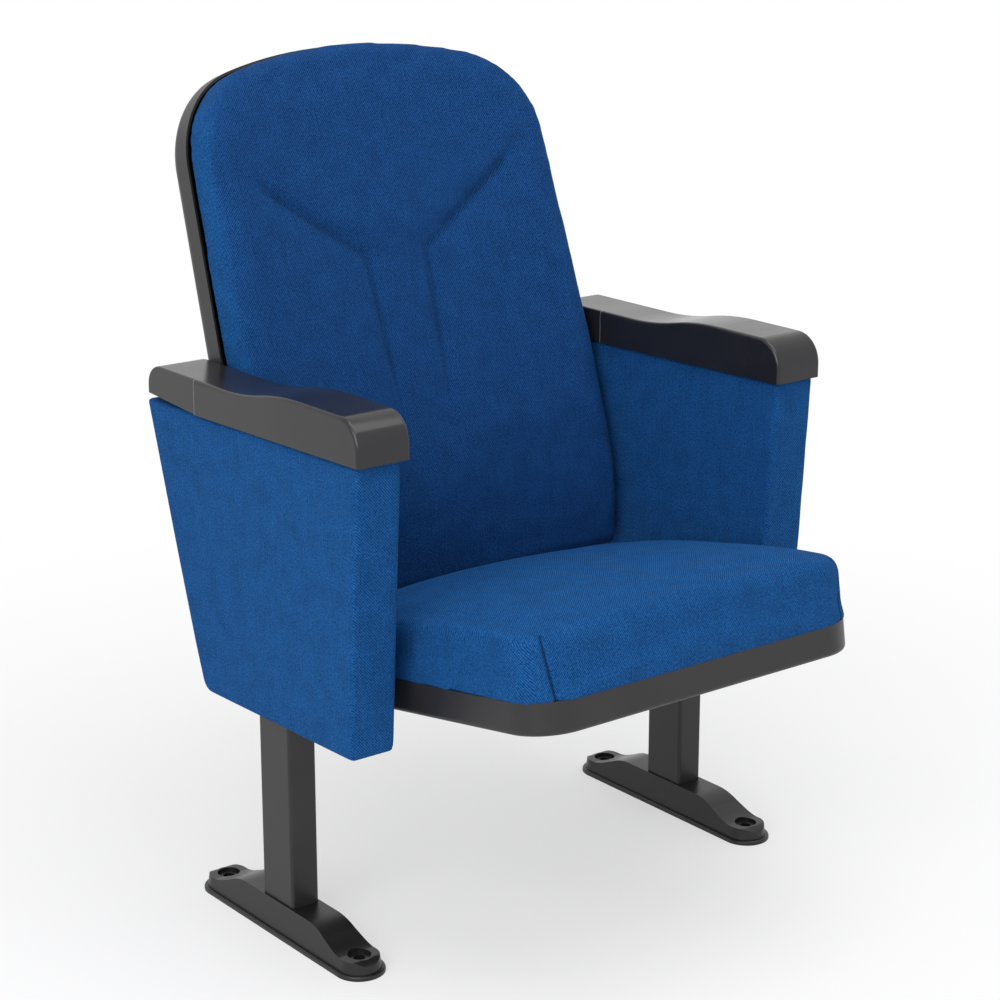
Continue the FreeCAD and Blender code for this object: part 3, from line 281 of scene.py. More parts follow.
def woven_cloth(fabric, name="blue_twill"):
    """Twill: diagonal ribs crossed by finer yarn, with uneven dye and a soft nap."""
    material, shader = blank(name)
    if shader is None:
        return material
    for socket, value in (("Roughness", 0.92), ("Specular IOR Level", 0.08),
                          ("Sheen Weight", 0.05), ("Sheen Roughness", 0.45),
                          ("Sheen Tint", (0.12, 0.5, 1.0, 1.0))):
        shader.inputs[socket].default_value = value
    lay = node_of(material, "ShaderNodeUVMap", (-1500, 0), uv_map="weave")
    turn = node_of(material, "ShaderNodeMapping", (-1300, 0),
                   {"Rotation": (0.0, 0.0, math.radians(42.0))})
    rib = node_of(material, "ShaderNodeTexWave", (-1050, 150),
                  {"Scale": ONE_BAND / fabric.rib_pitch, "Distortion": 0.9,
                   "Detail": 1.0, "Detail Scale": 1.4},
                  wave_type="BANDS", bands_direction="X", wave_profile="SIN")
    yarn = node_of(material, "ShaderNodeTexWave", (-1050, -150),
                   {"Scale": ONE_BAND / (fabric.rib_pitch * 0.55), "Distortion": 1.6,
                    "Detail": 2.0},
                   wave_type="BANDS", bands_direction="Y", wave_profile="SIN")
    nap = node_of(material, "ShaderNodeTexNoise", (-1050, -450),
                  {"Scale": 430.0, "Detail": 3.0, "Roughness": 0.7})
    dye = node_of(material, "ShaderNodeTexNoise", (-1050, -700),
                  {"Scale": 38.0, "Detail": 6.0})
    streak_lay = node_of(material, "ShaderNodeMapping", (-1300, -950),
                         {"Scale": (1.0, 0.05, 1.0)})
    streak = node_of(material, "ShaderNodeTexNoise", (-1050, -950),
                     {"Scale": 420.0, "Detail": 3.0})
    for source, target in ((lay.outputs["UV"], turn), (turn.outputs["Vector"], rib),
                           (turn.outputs["Vector"], yarn), (lay.outputs["UV"], nap),
                           (lay.outputs["UV"], dye), (lay.outputs["UV"], streak_lay),
                           (streak_lay.outputs["Vector"], streak)):
        link(material, source, target.inputs["Vector"])

    # Ribs, yarn and nap give both the relief and the mix of the two colours
    height = node_of(material, "ShaderNodeMath", (-800, 100), {1: 0.35},
                     operation="MULTIPLY_ADD")
    link(material, yarn.outputs["Fac"], height.inputs[0])
    link(material, rib.outputs["Fac"], height.inputs[2])
    rough = node_of(material, "ShaderNodeMath", (-620, 60), {1: 3.4},
                    operation="MULTIPLY_ADD")
    link(material, nap.outputs["Fac"], rough.inputs[0])
    link(material, height.outputs["Value"], rough.inputs[2])
    shade = node_of(material, "ShaderNodeMapRange", (-440, 200),
                    {"From Min": 1.72, "From Max": 3.0})
    link(material, rough.outputs["Value"], shade.inputs["Value"])
    ribs = node_of(material, "ShaderNodeMix", (-240, 250), data_type="RGBA")
    ribs.inputs[MIX_A].default_value = (*fabric.dark_colour, 1.0)
    ribs.inputs[MIX_B].default_value = (*fabric.colour, 1.0)
    link(material, shade.outputs["Result"], ribs.inputs[MIX_SHARE])

    # The dye is uneven, and streaky along the warp
    uneven = node_of(material, "ShaderNodeMath", (-800, -700), {1: 0.55},
                     operation="MULTIPLY_ADD")
    streaky = node_of(material, "ShaderNodeMath", (-800, -950), {1: 0.45, 2: 0.5},
                      operation="MULTIPLY_ADD")
    link(material, dye.outputs["Fac"], uneven.inputs[0])
    link(material, streak.outputs["Fac"], streaky.inputs[0])
    link(material, streaky.outputs["Value"], uneven.inputs[2])
    level = grey(material, (-420, -600), uneven.outputs["Value"])
    dyed = times(material, (-60, 150), ribs.outputs[MIX_OUT], level)

    # Painted shade: seams and channels are darker, where the mesh's seam attribute says so
    seam = node_of(material, "ShaderNodeAttribute", (-420, -850), attribute_name="seam")
    depth = node_of(material, "ShaderNodeMath", (-240, -850), {1: -0.7, 2: 1.0},
                    operation="MULTIPLY_ADD")
    link(material, seam.outputs["Fac"], depth.inputs[0])
    seam_shade = grey(material, (-60, -700), depth.outputs["Value"])
    link(material, times(material, (120, 50), dyed, seam_shade), shader.inputs["Base Color"])
    shader.location = (400, 100)
    material.node_tree.nodes["Material Output"].location = (700, 100)

    bump = node_of(material, "ShaderNodeBump", (120, -350),
                   {"Strength": 0.8, "Distance": fabric.relief})
    link(material, rough.outputs["Value"], bump.inputs["Height"])
    link(material, bump.outputs["Normal"], shader.inputs["Normal"])
    return material


def moulded(name, colour, light, roughness, grain, relief):
    """Moulded plastic or powder coat: a fine even grain, with cloudy colour and gloss."""
    material, shader = blank(name)
    if shader is None:
        return material
    shader.inputs["Specular IOR Level"].default_value = 0.42
    place = node_of(material, "ShaderNodeTexCoord", (-1100, 0))
    fine = node_of(material, "ShaderNodeTexNoise", (-850, -200),
                   {"Scale": grain, "Detail": 3.0})
    cloud = node_of(material, "ShaderNodeTexNoise", (-850, 200),
                    {"Scale": 14.0, "Detail": 5.0})
    for target in (fine, cloud):
        link(material, place.outputs["Object"], target.inputs["Vector"])
    tone = node_of(material, "ShaderNodeMix", (-450, 200), data_type="RGBA")
    tone.inputs[MIX_A].default_value = (*colour, 1.0)
    tone.inputs[MIX_B].default_value = (*light, 1.0)
    spread = node_of(material, "ShaderNodeMapRange", (-650, 200),
                     {"From Min": 0.35, "From Max": 0.7})
    dull = node_of(material, "ShaderNodeMapRange", (-450, -50),
                   {"From Min": 0.3, "From Max": 0.7,
                    "To Min": roughness - 0.05, "To Max": roughness + 0.06})
    link(material, cloud.outputs["Fac"], spread.inputs["Value"])
    link(material, spread.outputs["Result"], tone.inputs[MIX_SHARE])
    link(material, tone.outputs[MIX_OUT], shader.inputs["Base Color"])
    link(material, cloud.outputs["Fac"], dull.inputs["Value"])
    link(material, dull.outputs["Result"], shader.inputs["Roughness"])
    bump = node_of(material, "ShaderNodeBump", (-300, -300),
                   {"Strength": 0.5, "Distance": relief})
    link(material, fine.outputs["Fac"], bump.inputs["Height"])
    link(material, bump.outputs["Normal"], shader.inputs["Normal"])
    return material


def bare_metal(name, colour, roughness):
    """Zinc plate or spring wire: metal with a fine grain and cloudy gloss."""
    material = moulded(name, colour, tuple(min(1.0, c * 1.15) for c in colour),
                       roughness, grain=700.0, relief=0.00004)
    shader_of(material).inputs["Metallic"].default_value = 1.0
    return material


def plywood(name):
    """Birch ply: pale face with long soft grain."""
    material, shader = blank(name)
    if shader is None:
        return material
    place = node_of(material, "ShaderNodeTexCoord", (-1000, 0))
    long_grain = node_of(material, "ShaderNodeMapping", (-800, 0),
                         {"Scale": (18.0, 18.0, 1.6)})
    grain = node_of(material, "ShaderNodeTexNoise", (-600, 0),
                    {"Scale": 9.0, "Detail": 6.0})
    link(material, place.outputs["Object"], long_grain.inputs["Vector"])
    link(material, long_grain.outputs["Vector"], grain.inputs["Vector"])
    tone = node_of(material, "ShaderNodeMix", (-350, 100), data_type="RGBA")
    tone.inputs[MIX_A].default_value = (0.43, 0.29, 0.16, 1.0)
    tone.inputs[MIX_B].default_value = (0.70, 0.54, 0.35, 1.0)
    link(material, grain.outputs["Fac"], tone.inputs[MIX_SHARE])
    link(material, tone.outputs[MIX_OUT], shader.inputs["Base Color"])
    shader.inputs["Roughness"].default_value = 0.6
    return material


def finish_nodes(material, *names):
    """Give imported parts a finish, without touching their shape."""
    for name in names:
        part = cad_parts[name]
        part.data.materials.clear()
        part.data.materials.append(material)


def both(*names):
    """The names of the left and right parts."""
    return [side + name for name in names for side in ("left_", "right_")]


# Mesh helpers


def choose(piece):
    """Make one object the only selected and active one."""
    if bpy.context.object and bpy.context.object.mode != "OBJECT":
        bpy.ops.object.mode_set(mode="OBJECT")
    bpy.ops.object.select_all(action="DESELECT")
    piece.select_set(True)
    bpy.context.view_layer.objects.active = piece


def apply_modifier(piece, kind, **settings):
    """Add one modifier, set it up and apply it."""
    choose(piece)
    modifier = piece.modifiers.new(kind.title(), kind)
    for name, value in settings.items():
        setattr(modifier, name, value)
    bpy.ops.object.modifier_apply(modifier=modifier.name)


def copied_from(node, name):
    """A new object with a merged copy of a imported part's mesh."""
    piece = bpy.data.objects.new(name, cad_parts[node].data.copy())
    bpy.context.scene.collection.objects.link(piece)
    piece.data.materials.clear()
    choose(piece)
    bpy.ops.object.mode_set(mode="EDIT")
    bpy.ops.mesh.select_all(action="SELECT")
    bpy.ops.mesh.remove_doubles(threshold=0.00002)
    bpy.ops.mesh.normals_make_consistent(inside=False)
    bpy.ops.object.mode_set(mode="OBJECT")
    return piece


def places(piece):
    co = np.empty(len(piece.data.vertices) * 3)
    piece.data.vertices.foreach_get("co", co)
    return co.reshape(-1, 3)


def normals(piece):
    out = np.empty(len(piece.data.vertices) * 3)
    piece.data.vertices.foreach_get("normal", out)
    return out.reshape(-1, 3)


def put(piece, co):
    piece.data.vertices.foreach_set("co", co.ravel())
    piece.data.update()


def mark(piece, name, chosen):
    """Put the chosen points in a vertex group."""
    group = piece.vertex_groups.new(name=name)
    group.add([int(i) for i in np.nonzero(chosen)[0]], 1.0, "REPLACE")
    return group.name


def seat_flat(co):
    """World places as (across, back from the front edge, up from the tray's bottom)."""
    c, s = math.cos(SEAT_SLOPE), math.sin(SEAT_SLOPE)
    y = co[:, 1] - SEAT_FRONT.y
    z = co[:, 2] - SEAT_FRONT.z
    return np.stack([co[:, 0], y * c - z * s, y * s + z * c], 1)


def back_flat(co):
    """World places as (round the wrap, up the slope, depth behind the front)."""
    c, s = math.cos(BACK_LEAN), math.sin(BACK_LEAN)
    y = co[:, 1] - BACK_AT.y
    z = co[:, 2] - BACK_AT.z
    up = y * s + z * c
    rear = y * c - z * s
    reach = np.hypot(co[:, 0], rear + BACK_WRAP)
    round_it = np.arctan2(co[:, 0], rear + BACK_WRAP) * BACK_WRAP
    return np.stack([round_it, up, reach - BACK_WRAP], 1)


def distance_to_line(points, corners):
    """Distance from points to a chain of straight runs."""
    best = np.full(len(points), np.inf)
    for a, b in zip(corners, corners[1:]):
        a, b = np.array(a), np.array(b)
        t = np.clip(((points - a) @ (b - a)) / ((b - a) @ (b - a)), 0.0, 1.0)
        best = np.minimum(best, np.linalg.norm(points - (a + t[:, None] * (b - a)), axis=1))
    return best


def from_corner_seam(co):
    """Distance from the seams that run up the seat's two front corners."""
    spot = seat_flat(co)
    out = np.abs(spot[:, 0]) - SEAM_CENTRE[0]
    front = SEAM_CENTRE[1] - spot[:, 1]
    rise = (spot[:, 2] - SEAM_FOOT[0]) / (SEAM_HEAD[0] - SEAM_FOOT[0])
    line = SEAM_FOOT[1] + np.clip(rise, 0.0, 1.0) * (SEAM_HEAD[1] - SEAM_FOOT[1])
    reach = np.hypot(out, front)
    round_it = reach * np.abs(np.arctan2(out, front) - line)
    past = np.maximum(spot[:, 2] - SEAM_HEAD[0], 0.0)
    return np.where(reach > SEAM_REACH, np.hypot(round_it, past), FAR_OFF)


def swell(piece, pinned, cap, cushions):
    """Fill the cloth with air for a few frames, hold the pinned places and cap the rest."""
    start = places(piece)
    outward = normals(piece)
    choose(piece)
    cloth = piece.modifiers.new("Cloth", "CLOTH")
    cloth.settings.vertex_group_mass = mark(piece, "held", pinned)
    cloth.settings.use_pressure = True
    cloth.settings.uniform_pressure_force = cushions.pressure
    cloth.settings.effector_weights.gravity = 0.0
    cloth.settings.quality = 5
    cloth.point_cache.frame_end = cushions.steps
    for step in range(1, cushions.steps + 1):
        bpy.context.scene.frame_set(step)
    bpy.ops.object.modifier_apply(modifier=cloth.name)
    bpy.context.scene.frame_set(1)
    moved = places(piece) - start
    drawn_in = np.minimum((moved * outward).sum(1) + DRAW_IN, 0.0)
    moved -= outward * drawn_in[:, None]
    far = np.linalg.norm(moved, axis=1)
    scale = np.minimum(1.0, cap / np.maximum(far, 1e-9))
    put(piece, start + moved * scale[:, None])
    piece.vertex_groups.clear()


def relax(piece, rounds, chosen=None, factor=0.5):
    """Smooth the mesh or a chosen part of it, as cloth over foam evens out."""
    settings = {"factor": factor, "iterations": rounds}
    if chosen is not None:
        settings["vertex_group"] = mark(piece, "chosen", chosen)
    apply_modifier(piece, "SMOOTH", **settings)
    piece.vertex_groups.clear()


def remesh(piece, size):
    """Turn the shape into even faces of one size."""
    choose(piece)
    piece.data.remesh_voxel_size = size
    piece.data.remesh_voxel_adaptivity = 0.0
    bpy.ops.object.voxel_remesh()


def halve(piece):
    """Divide every face once, smoothly."""
    apply_modifier(piece, "SUBSURF", levels=1, render_levels=1)


def shrink(piece, by):
    """Move each point in by its own distance."""
    put(piece, places(piece) - normals(piece) * by[:, None])


def refine_near(piece, wanted, cuts):
    """Divide the faces whose corners are all near a seam."""
    choose(piece)
    bpy.ops.object.mode_set(mode="EDIT")
    bpy.ops.mesh.select_mode(type="FACE")
    bpy.ops.mesh.select_all(action="DESELECT")
    bm = bmesh.from_edit_mesh(piece.data)
    for face in bm.faces:
        if all(wanted[vert.index] for vert in face.verts):
            face.select_set(True)
    bmesh.update_edit_mesh(piece.data)
    bpy.ops.mesh.subdivide(number_cuts=cuts)
    bpy.ops.object.mode_set(mode="OBJECT")


def crease(piece, away, width, depth, shade_width, shade_share=1.0):
    """Press a seam in along a line, given each point's distance from it, and write painted
    shade along it to the seam attribute.
    """
    shrink(piece, depth * np.exp(-(away / width) ** 2))
    dark = piece.data.attributes.new("seam", "FLOAT", "POINT")
    seam_shade = shade_share * np.exp(-(away / shade_width) ** 2)
    dark.data.foreach_set("value", seam_shade.astype(np.float32))


def lay_weave(piece, place):
    """Write the cloth's own map, in metres, from each corner's place and face normal."""
    mesh = piece.data
    co = places(piece)
    corner = np.empty(len(mesh.loops), np.int32)
    mesh.loops.foreach_get("vertex_index", corner)
    face_normal = np.empty(len(mesh.polygons) * 3)
    mesh.polygons.foreach_get("normal", face_normal)
    count = np.empty(len(mesh.polygons), np.int32)
    mesh.polygons.foreach_get("loop_total", count)
    lay = mesh.uv_layers.get("weave") or mesh.uv_layers.new(name="weave")
    uv = place(co[corner], np.repeat(face_normal.reshape(-1, 3), count, axis=0))
    lay.data.foreach_set("uv", uv.astype(np.float32).ravel())


def dress(piece, material, body, slot, *replaced):
    """Smooth shading, finish, body and the parts that the piece stands for; the material slot
    is not used.
    """
    piece.data.materials.clear()
    piece.data.materials.append(material)
    choose(piece)
    bpy.ops.object.shade_smooth()
    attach(piece, body)
    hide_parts(*replaced)


# Pieces


class SEAT_OT_seat_cushion(bpy.types.Operator):
    """Crowned foam cushion of the tip-up seat, with a seam at each front corner"""
    bl_idname = "seat.seat_cushion"
    bl_label = "Seat cushion"

    def execute(self, context):
        cushions = context.scene.seat_cushions
        piece = copied_from("seat_cushion", "seat_pad")
        remesh(piece, cushions.grain)
        relax(piece, 4)
        height = seat_flat(places(piece))[:, 2]
        loose = np.clip((height - TRAY_RIM) / PAD_EASE, 0.0, 1.0)
        shrink(piece, loose * cushions.seat_swell * SEAT_SHRINK)
        swell(piece, height < TRAY_RIM + SEAT_HELD, cushions.seat_swell, cushions)
        halve(piece)
        relax(piece, 2)
        self.tuck_in(piece)
        refine_near(piece, from_corner_seam(places(piece)) < SEAM_FINE, 2)
        crease(piece, from_corner_seam(places(piece)),
               width=0.0035, depth=0.0018, shade_width=0.0016)
        lay_weave(piece, self.lay_flat)
        dress(piece, woven_cloth(context.scene.seat_fabric), "seat", "blue_fabric",
              "seat_cushion")
        return {"FINISHED"}

    def tuck_in(self, piece):
        """Draw the cloth's lower edge down over the board and out to the tray's rim."""
        co = places(piece)
        height = seat_flat(co)[:, 2]
        low = np.clip((TRAY_RIM + TUCK_HEIGHT - height) / TUCK_HEIGHT, 0.0, 1.0)
        outward = normals(piece) * np.array((1.0, 1.0, 0.0))
        down = np.array((0.0, -math.sin(SEAT_SLOPE), -math.cos(SEAT_SLOPE)))
        put(piece, co + low[:, None] * (outward * TUCK_OUT + down * TUCK_DOWN))

    def lay_flat(self, co, normal):
        """The cloth runs over the top and down the front, and apart from that on the sides."""
        spot = seat_flat(co)
        side = (np.abs(normal[:, 0]) > SIDE_TURN)[:, None]
        round_front = np.stack([spot[:, 0], spot[:, 1] + spot[:, 2]], 1)
        along_side = np.stack([spot[:, 1], spot[:, 2]], 1)
        return np.where(side, along_side, round_front)


class SEAT_OT_back_cushion(bpy.types.Operator):
    """Concave back cushion with two sewn channels that bend outwards near the top"""
    bl_idname = "seat.back_cushion"
    bl_label = "Back cushion"

    def execute(self, context):
        cushions = context.scene.seat_cushions
        piece = copied_from("back_cushion", "back_pad")
        remesh(piece, cushions.grain)
        relax(piece, 4)
        relax(piece, 12, back_flat(places(piece))[:, 2] > REAR_RIM)
        away, _ = self.from_channels(piece)
        relax(piece, 40, away < CHANNEL_SMOOTH, factor=0.6)
        away, spot = self.from_channels(piece)
        held = (spot[:, 2] > BACK_THICK - BACK_HELD) | (away < CHANNEL_HELD)
        loose = np.clip((BACK_THICK - spot[:, 2]) / PAD_EASE, 0.0, 1.0)
        shrink(piece, loose * cushions.back_swell * BACK_SHRINK)
        swell(piece, held, cushions.back_swell, cushions)
        away, spot = self.from_channels(piece)
        relax(piece, 30, (away > CHANNEL_KEPT) & (spot[:, 2] < FRONT_FACE))
        self.even_rim(piece)
        halve(piece)
        relax(piece, 2)
        away, _ = self.from_channels(piece)
        refine_near(piece, away < CHANNEL_FINE, 1)
        away, spot = self.from_channels(piece)
        fade = np.clip((spot[:, 1] - CHANNEL_END) / CHANNEL_FADE, 0.0, 1.0)
        crease(piece, away + (1.0 - fade) * CHANNEL_LIFT,
               width=0.0070, depth=0.0015, shade_width=0.0050, shade_share=0.4)
        lay_weave(piece, self.lay_flat)
        cloth = woven_cloth(context.scene.seat_fabric, "back_twill")
        self.shade_front(cloth, context.scene.seat_fabric.back_shade_tone)
        dress(piece, cloth, "frame", "blue_fabric", "back_cushion")
        return {"FINISHED"}

    def from_channels(self, piece):
        """Distance from the two channels on the front, and the points' flat places."""
        spot = back_flat(places(piece))
        lines = [[(side * x, up) for x, up in (CHANNEL_TOP, CHANNEL_KNEE, CHANNEL_LOW)]
                 for side in (-1.0, 1.0)]
        away = np.minimum(*[distance_to_line(spot[:, :2], line) for line in lines])
        return np.where(spot[:, 2] < CHANNEL_DEPTH, away, FAR_OFF), spot

    def even_rim(self, piece):
        """Smooth the outline and give back the width that the smoothing takes."""
        facing = normals(piece)
        front = np.abs(facing[:, 1] * math.cos(BACK_LEAN)
                       - facing[:, 2] * math.sin(BACK_LEAN))
        rim = np.clip((RIM_TURN - front) / RIM_BLEND, 0.0, 1.0)
        before = places(piece)
        relax(piece, 16, rim > 0.0)
        lost = ((before - places(piece)) * facing).sum(1)[rim > 0.99].mean()
        shrink(piece, -rim * lost)

    def lay_flat(self, co, normal):
        """The cloth runs over the front and on round the rim."""
        spot = back_flat(co)
        deep = np.clip(spot[:, 2], 0.0, 1.0)
        up = normal[:, 1] * math.sin(BACK_LEAN) + normal[:, 2] * math.cos(BACK_LEAN)
        return np.stack([spot[:, 0] + deep * normal[:, 0], spot[:, 1] + deep * up], 1)

    def shade_front(self, material, tone):
        """Painted shade: darken the front by the back's shade tone, and leave the faces turned
        left or right, which the light reaches most, at the full woven colour.
        """
        base = shader_of(material).inputs["Base Color"]
        woven = base.links[0].from_socket
        share = node_of(material, "ShaderNodeMapRange", (100, 700),
                        {"From Min": 0.30, "From Max": 0.85})
        level = node_of(material, "ShaderNodeMix", (280, 600), data_type="RGBA")
        level.inputs[MIX_A].default_value = (*tone, 1.0)
        level.inputs[MIX_B].default_value = WHITE
        link(material, sideways(material, (-420, 700)), share.inputs["Value"])
        link(material, share.outputs["Result"], level.inputs[MIX_SHARE])
        link(material, times(material, (280, 350), woven, level.outputs[MIX_OUT]), base)


class SEAT_OT_side_panels(bpy.types.Operator):
    """Upholstered box panels under the armrests, cloth over thin wadding"""
    bl_idname = "seat.side_panels"
    bl_label = "Side panels"

    def execute(self, context):
        for side, sign in (("left", -1.0), ("right", 1.0)):
            self.make_panel(context, side, sign)
        return {"FINISHED"}

    def make_panel(self, context, side, sign):
        panels = context.scene.seat_panels
        near = sign * panels.inside
        far = sign * (panels.inside + panels.width)
        piece = self.block(side + "_panel_cover", near, far)
        self.round_edges(piece, panels.edge, near, far)
        self.pad(piece, near, far)
        apply_modifier(piece, "SOLIDIFY", thickness=panels.cloth, offset=-1.0)
        self.open_for_parts(piece, side, sign)

        def lay_flat(co, normal):
            front = np.abs(normal[:, 1]) > FACE_TURN
            flat = np.abs(normal[:, 2]) > FACE_TURN
            inner = normal[:, 0] * sign < 0.0
            depth = np.abs(co[:, 0] - far)
            u = np.where(inner, PANEL_CORNERS[0][0] * 2 - co[:, 1] - panels.width, co[:, 1])
            u = np.where(front, PANEL_CORNERS[0][0] - depth, u)
            v = np.where(flat, depth, co[:, 2])
            return np.stack([u * -sign, v], 1)

        lay_weave(piece, lay_flat)
        dress(piece, woven_cloth(context.scene.seat_fabric), "frame", "blue_fabric",
              side + "_side_upholstery")

    def block(self, name, near, far):
        """The panel's outline, extruded to its width."""
        bpy.ops.object.select_all(action="DESELECT")
        bpy.ops.mesh.primitive_plane_add(size=1.0, location=(0, 0, 0))
        piece = bpy.context.object
        piece.name = name
        bpy.ops.object.mode_set(mode="EDIT")
        bm = bmesh.from_edit_mesh(piece.data)
        corners = list(bm.faces)[0].verts[:]
        for vert, (y, z) in zip(corners, PANEL_CORNERS):
            vert.co = Vector((near, y, z))
        bmesh.update_edit_mesh(piece.data)
        bpy.ops.mesh.select_all(action="SELECT")
        bpy.ops.mesh.extrude_region_move(TRANSFORM_OT_translate={"value": (far - near, 0, 0)})
        bpy.ops.mesh.select_all(action="SELECT")
        bpy.ops.mesh.normals_make_consistent(inside=False)
        return piece

    def round_edges(self, piece, radius, near, far):
        """In edit mode, round the heel, and then all round both faces."""
        bm = bmesh.from_edit_mesh(piece.data)
        bpy.ops.mesh.select_mode(type="EDGE")
        bpy.ops.mesh.select_all(action="DESELECT")
        heel = Vector(((near + far) / 2, *PANEL_CORNERS[2]))
        for edge in bm.edges:
            middle = (edge.verts[0].co + edge.verts[1].co) / 2
            edge.select = (middle - heel).length < 0.001
        bmesh.update_edit_mesh(piece.data)
        bpy.ops.mesh.bevel(offset=HEEL_ROUND, segments=5, affect="EDGES")
        bpy.ops.mesh.select_all(action="DESELECT")
        bm = bmesh.from_edit_mesh(piece.data)
        for edge in bm.edges:
            if abs(edge.verts[0].co.x - edge.verts[1].co.x) < 1e-5:
                edge.select = True
        bmesh.update_edit_mesh(piece.data)
        bpy.ops.mesh.bevel(offset=radius, segments=4, affect="EDGES")
        bpy.ops.object.mode_set(mode="OBJECT")

    def pad(self, piece, near, far):
        """Give the wide faces a fine grid and a slight fullness."""
        remesh(piece, PANEL_GRAIN)
        relax(piece, 3)
        co = places(piece)
        middle = (near + far) / 2
        (front, rear), (bottom, top) = PANEL_REACH
        inset = np.minimum(np.minimum(co[:, 1] - front, rear - co[:, 1]),
                           np.minimum(co[:, 2] - bottom, top - co[:, 2]))
        full = np.clip(inset / PANEL_FADE, 0.0, 1.0)
        full = full * full * (3 - 2 * full)
        on_face = np.abs(co[:, 0] - middle) > abs(far - near) / 2 - PANEL_SKIN
        out = np.sign(co[:, 0] - middle) * np.where(on_face, full * PANEL_FULL, 0.0)
        co[:, 0] += out
        put(piece, co)

    def open_for_parts(self, piece, side, sign):
        """Cut the openings for the leg and for the pivot's cup."""
        low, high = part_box(side + "_leg_tube")
        centre = (low + high) / 2
        slot_at, slot_height = LEG_SLOT
        bpy.ops.object.select_all(action="DESELECT")
        bpy.ops.mesh.primitive_cube_add(
            size=1.0, location=(centre.x, centre.y, slot_at),
            scale=(high.x - low.x + LEG_PLAY, high.y - low.y + LEG_PLAY, slot_height))
        slot = bpy.context.object
        low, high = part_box(side + "_pivot_cup")
        hole_at, hole_depth = CUP_SLOT
        bpy.ops.mesh.primitive_cylinder_add(
            vertices=64, radius=(high.z - low.z) / 2 + CUP_PLAY, depth=hole_depth,
            location=(sign * hole_at, (low.y + high.y) / 2, (low.z + high.z) / 2),
            rotation=(0.0, math.pi / 2, 0.0))
        cup = bpy.context.object
        for cutter in (slot, cup):
            choose(cutter)
            bpy.ops.object.transform_apply(location=True, rotation=True, scale=True)
            apply_modifier(piece, "BOOLEAN", operation="DIFFERENCE", solver="EXACT",
                           object=cutter)
            bpy.data.objects.remove(cutter, do_unlink=True)


class SEAT_OT_armrests(bpy.types.Operator):
    """Finish of the moulded armrests"""
    bl_idname = "seat.armrests"
    bl_label = "Armrests"

    def execute(self, context):
        plastic = moulded("armrest_grain", (0.0140, 0.0132, 0.0152),
                          (0.0180, 0.0168, 0.0190), 0.21, grain=900.0, relief=0.00004)
        self.paint_step_highlight(plastic)
        finish_nodes(plastic, *both("armrest"))
        return {"FINISHED"}

    def paint_step_highlight(self, material):
        """A painted highlight: a paler line along the upright edge of the step near the rear,
        on the faces turned left or right.
        """
        base = shader_of(material).inputs["Base Color"]
        plain = base.links[0].from_socket
        place = node_of(material, "ShaderNodeTexCoord", (-1100, 850))
        along = node_of(material, "ShaderNodeSeparateXYZ", (-900, 850))
        edge = node_of(material, "ShaderNodeMath", (-700, 850), {1: ARM_STEP, 2: STEP_HIGHLIGHT},
                       operation="COMPARE")
        highlit = node_of(material, "ShaderNodeMath", (-500, 650), operation="MULTIPLY")
        step_highlight = node_of(material, "ShaderNodeMix", (-200, 400), data_type="RGBA")
        # painted highlight colour along the step's edge
        step_highlight.inputs[MIX_B].default_value = (0.240, 0.215, 0.210, 1.0)
        link(material, place.outputs["Object"], along.inputs["Vector"])
        link(material, along.outputs["Y"], edge.inputs[0])
        link(material, edge.outputs["Value"], highlit.inputs[0])
        link(material, sideways(material, (-1100, 550)), highlit.inputs[1])
        link(material, highlit.outputs["Value"], step_highlight.inputs[MIX_SHARE])
        link(material, plain, step_highlight.inputs[MIX_A])
        link(material, step_highlight.outputs[MIX_OUT], base)


class SEAT_OT_mouldings(bpy.types.Operator):
    """Finish of the seat tray, the back shell and the foot covers"""
    bl_idname = "seat.mouldings"
    bl_label = "Mouldings"

    def execute(self, context):
        tray = moulded("tray_grain", (0.0165, 0.0150, 0.0160), (0.0210, 0.0192, 0.0202),
                       0.42, grain=1100.0, relief=0.00008)
        foot = moulded("foot_grain", (0.0070, 0.0066, 0.0072), (0.0105, 0.0100, 0.0108),
                       0.34, grain=800.0, relief=0.00006)
        finish_nodes(tray, "seat_tray", "back_shell")
        finish_nodes(foot, *both("foot_cover"))
        return {"FINISHED"}


class SEAT_OT_metalwork(bpy.types.Operator):
    """Finish of the legs, brackets, hinges, fasteners and springs"""
    bl_idname = "seat.metalwork"
    bl_label = "Metalwork"

    def execute(self, context):
        coat = moulded("powder_coat", (0.0130, 0.0122, 0.0136), (0.0172, 0.0162, 0.0178),
                       0.40, grain=1300.0, relief=0.00005)
        zinc = bare_metal("zinc_plate", (0.55, 0.55, 0.57), 0.32)
        wire = bare_metal("spring_wire", (0.22, 0.22, 0.23), 0.38)
        finish_nodes(coat, *both("leg_tube", "base_plate", "arm_carrier", "back_bracket",
                                 "pivot_cup", "hinge_plate", "hinge_angle"))
        finish_nodes(zinc, *both("pivot_pin", "arm_screws", "back_bolts", "hinge_bolts"),
                     "pivot_clips", "tray_screws", "shell_screws")
        finish_nodes(wire, *both("tip_spring"))
        return {"FINISHED"}


class SEAT_OT_inner_parts(bpy.types.Operator):
    """Finish of the plywood, the nylon bushes and the rubber sleeves"""
    bl_idname = "seat.inner_parts"
    bl_label = "Inner parts"

    def execute(self, context):
        nylon = moulded("white_nylon", (0.78, 0.77, 0.73), (0.84, 0.83, 0.79),
                        0.45, grain=500.0, relief=0.00003)
        rubber = moulded("black_rubber", (0.012, 0.012, 0.012), (0.018, 0.018, 0.018),
                         0.75, grain=600.0, relief=0.0001)
        finish_nodes(plywood("birch_ply"), "seat_board", "back_board",
                     *both("outer_board", "inner_board", "panel_frame"))
        finish_nodes(nylon, *both("pivot_bush"))
        finish_nodes(rubber, "stop_sleeves")
        return {"FINISHED"}


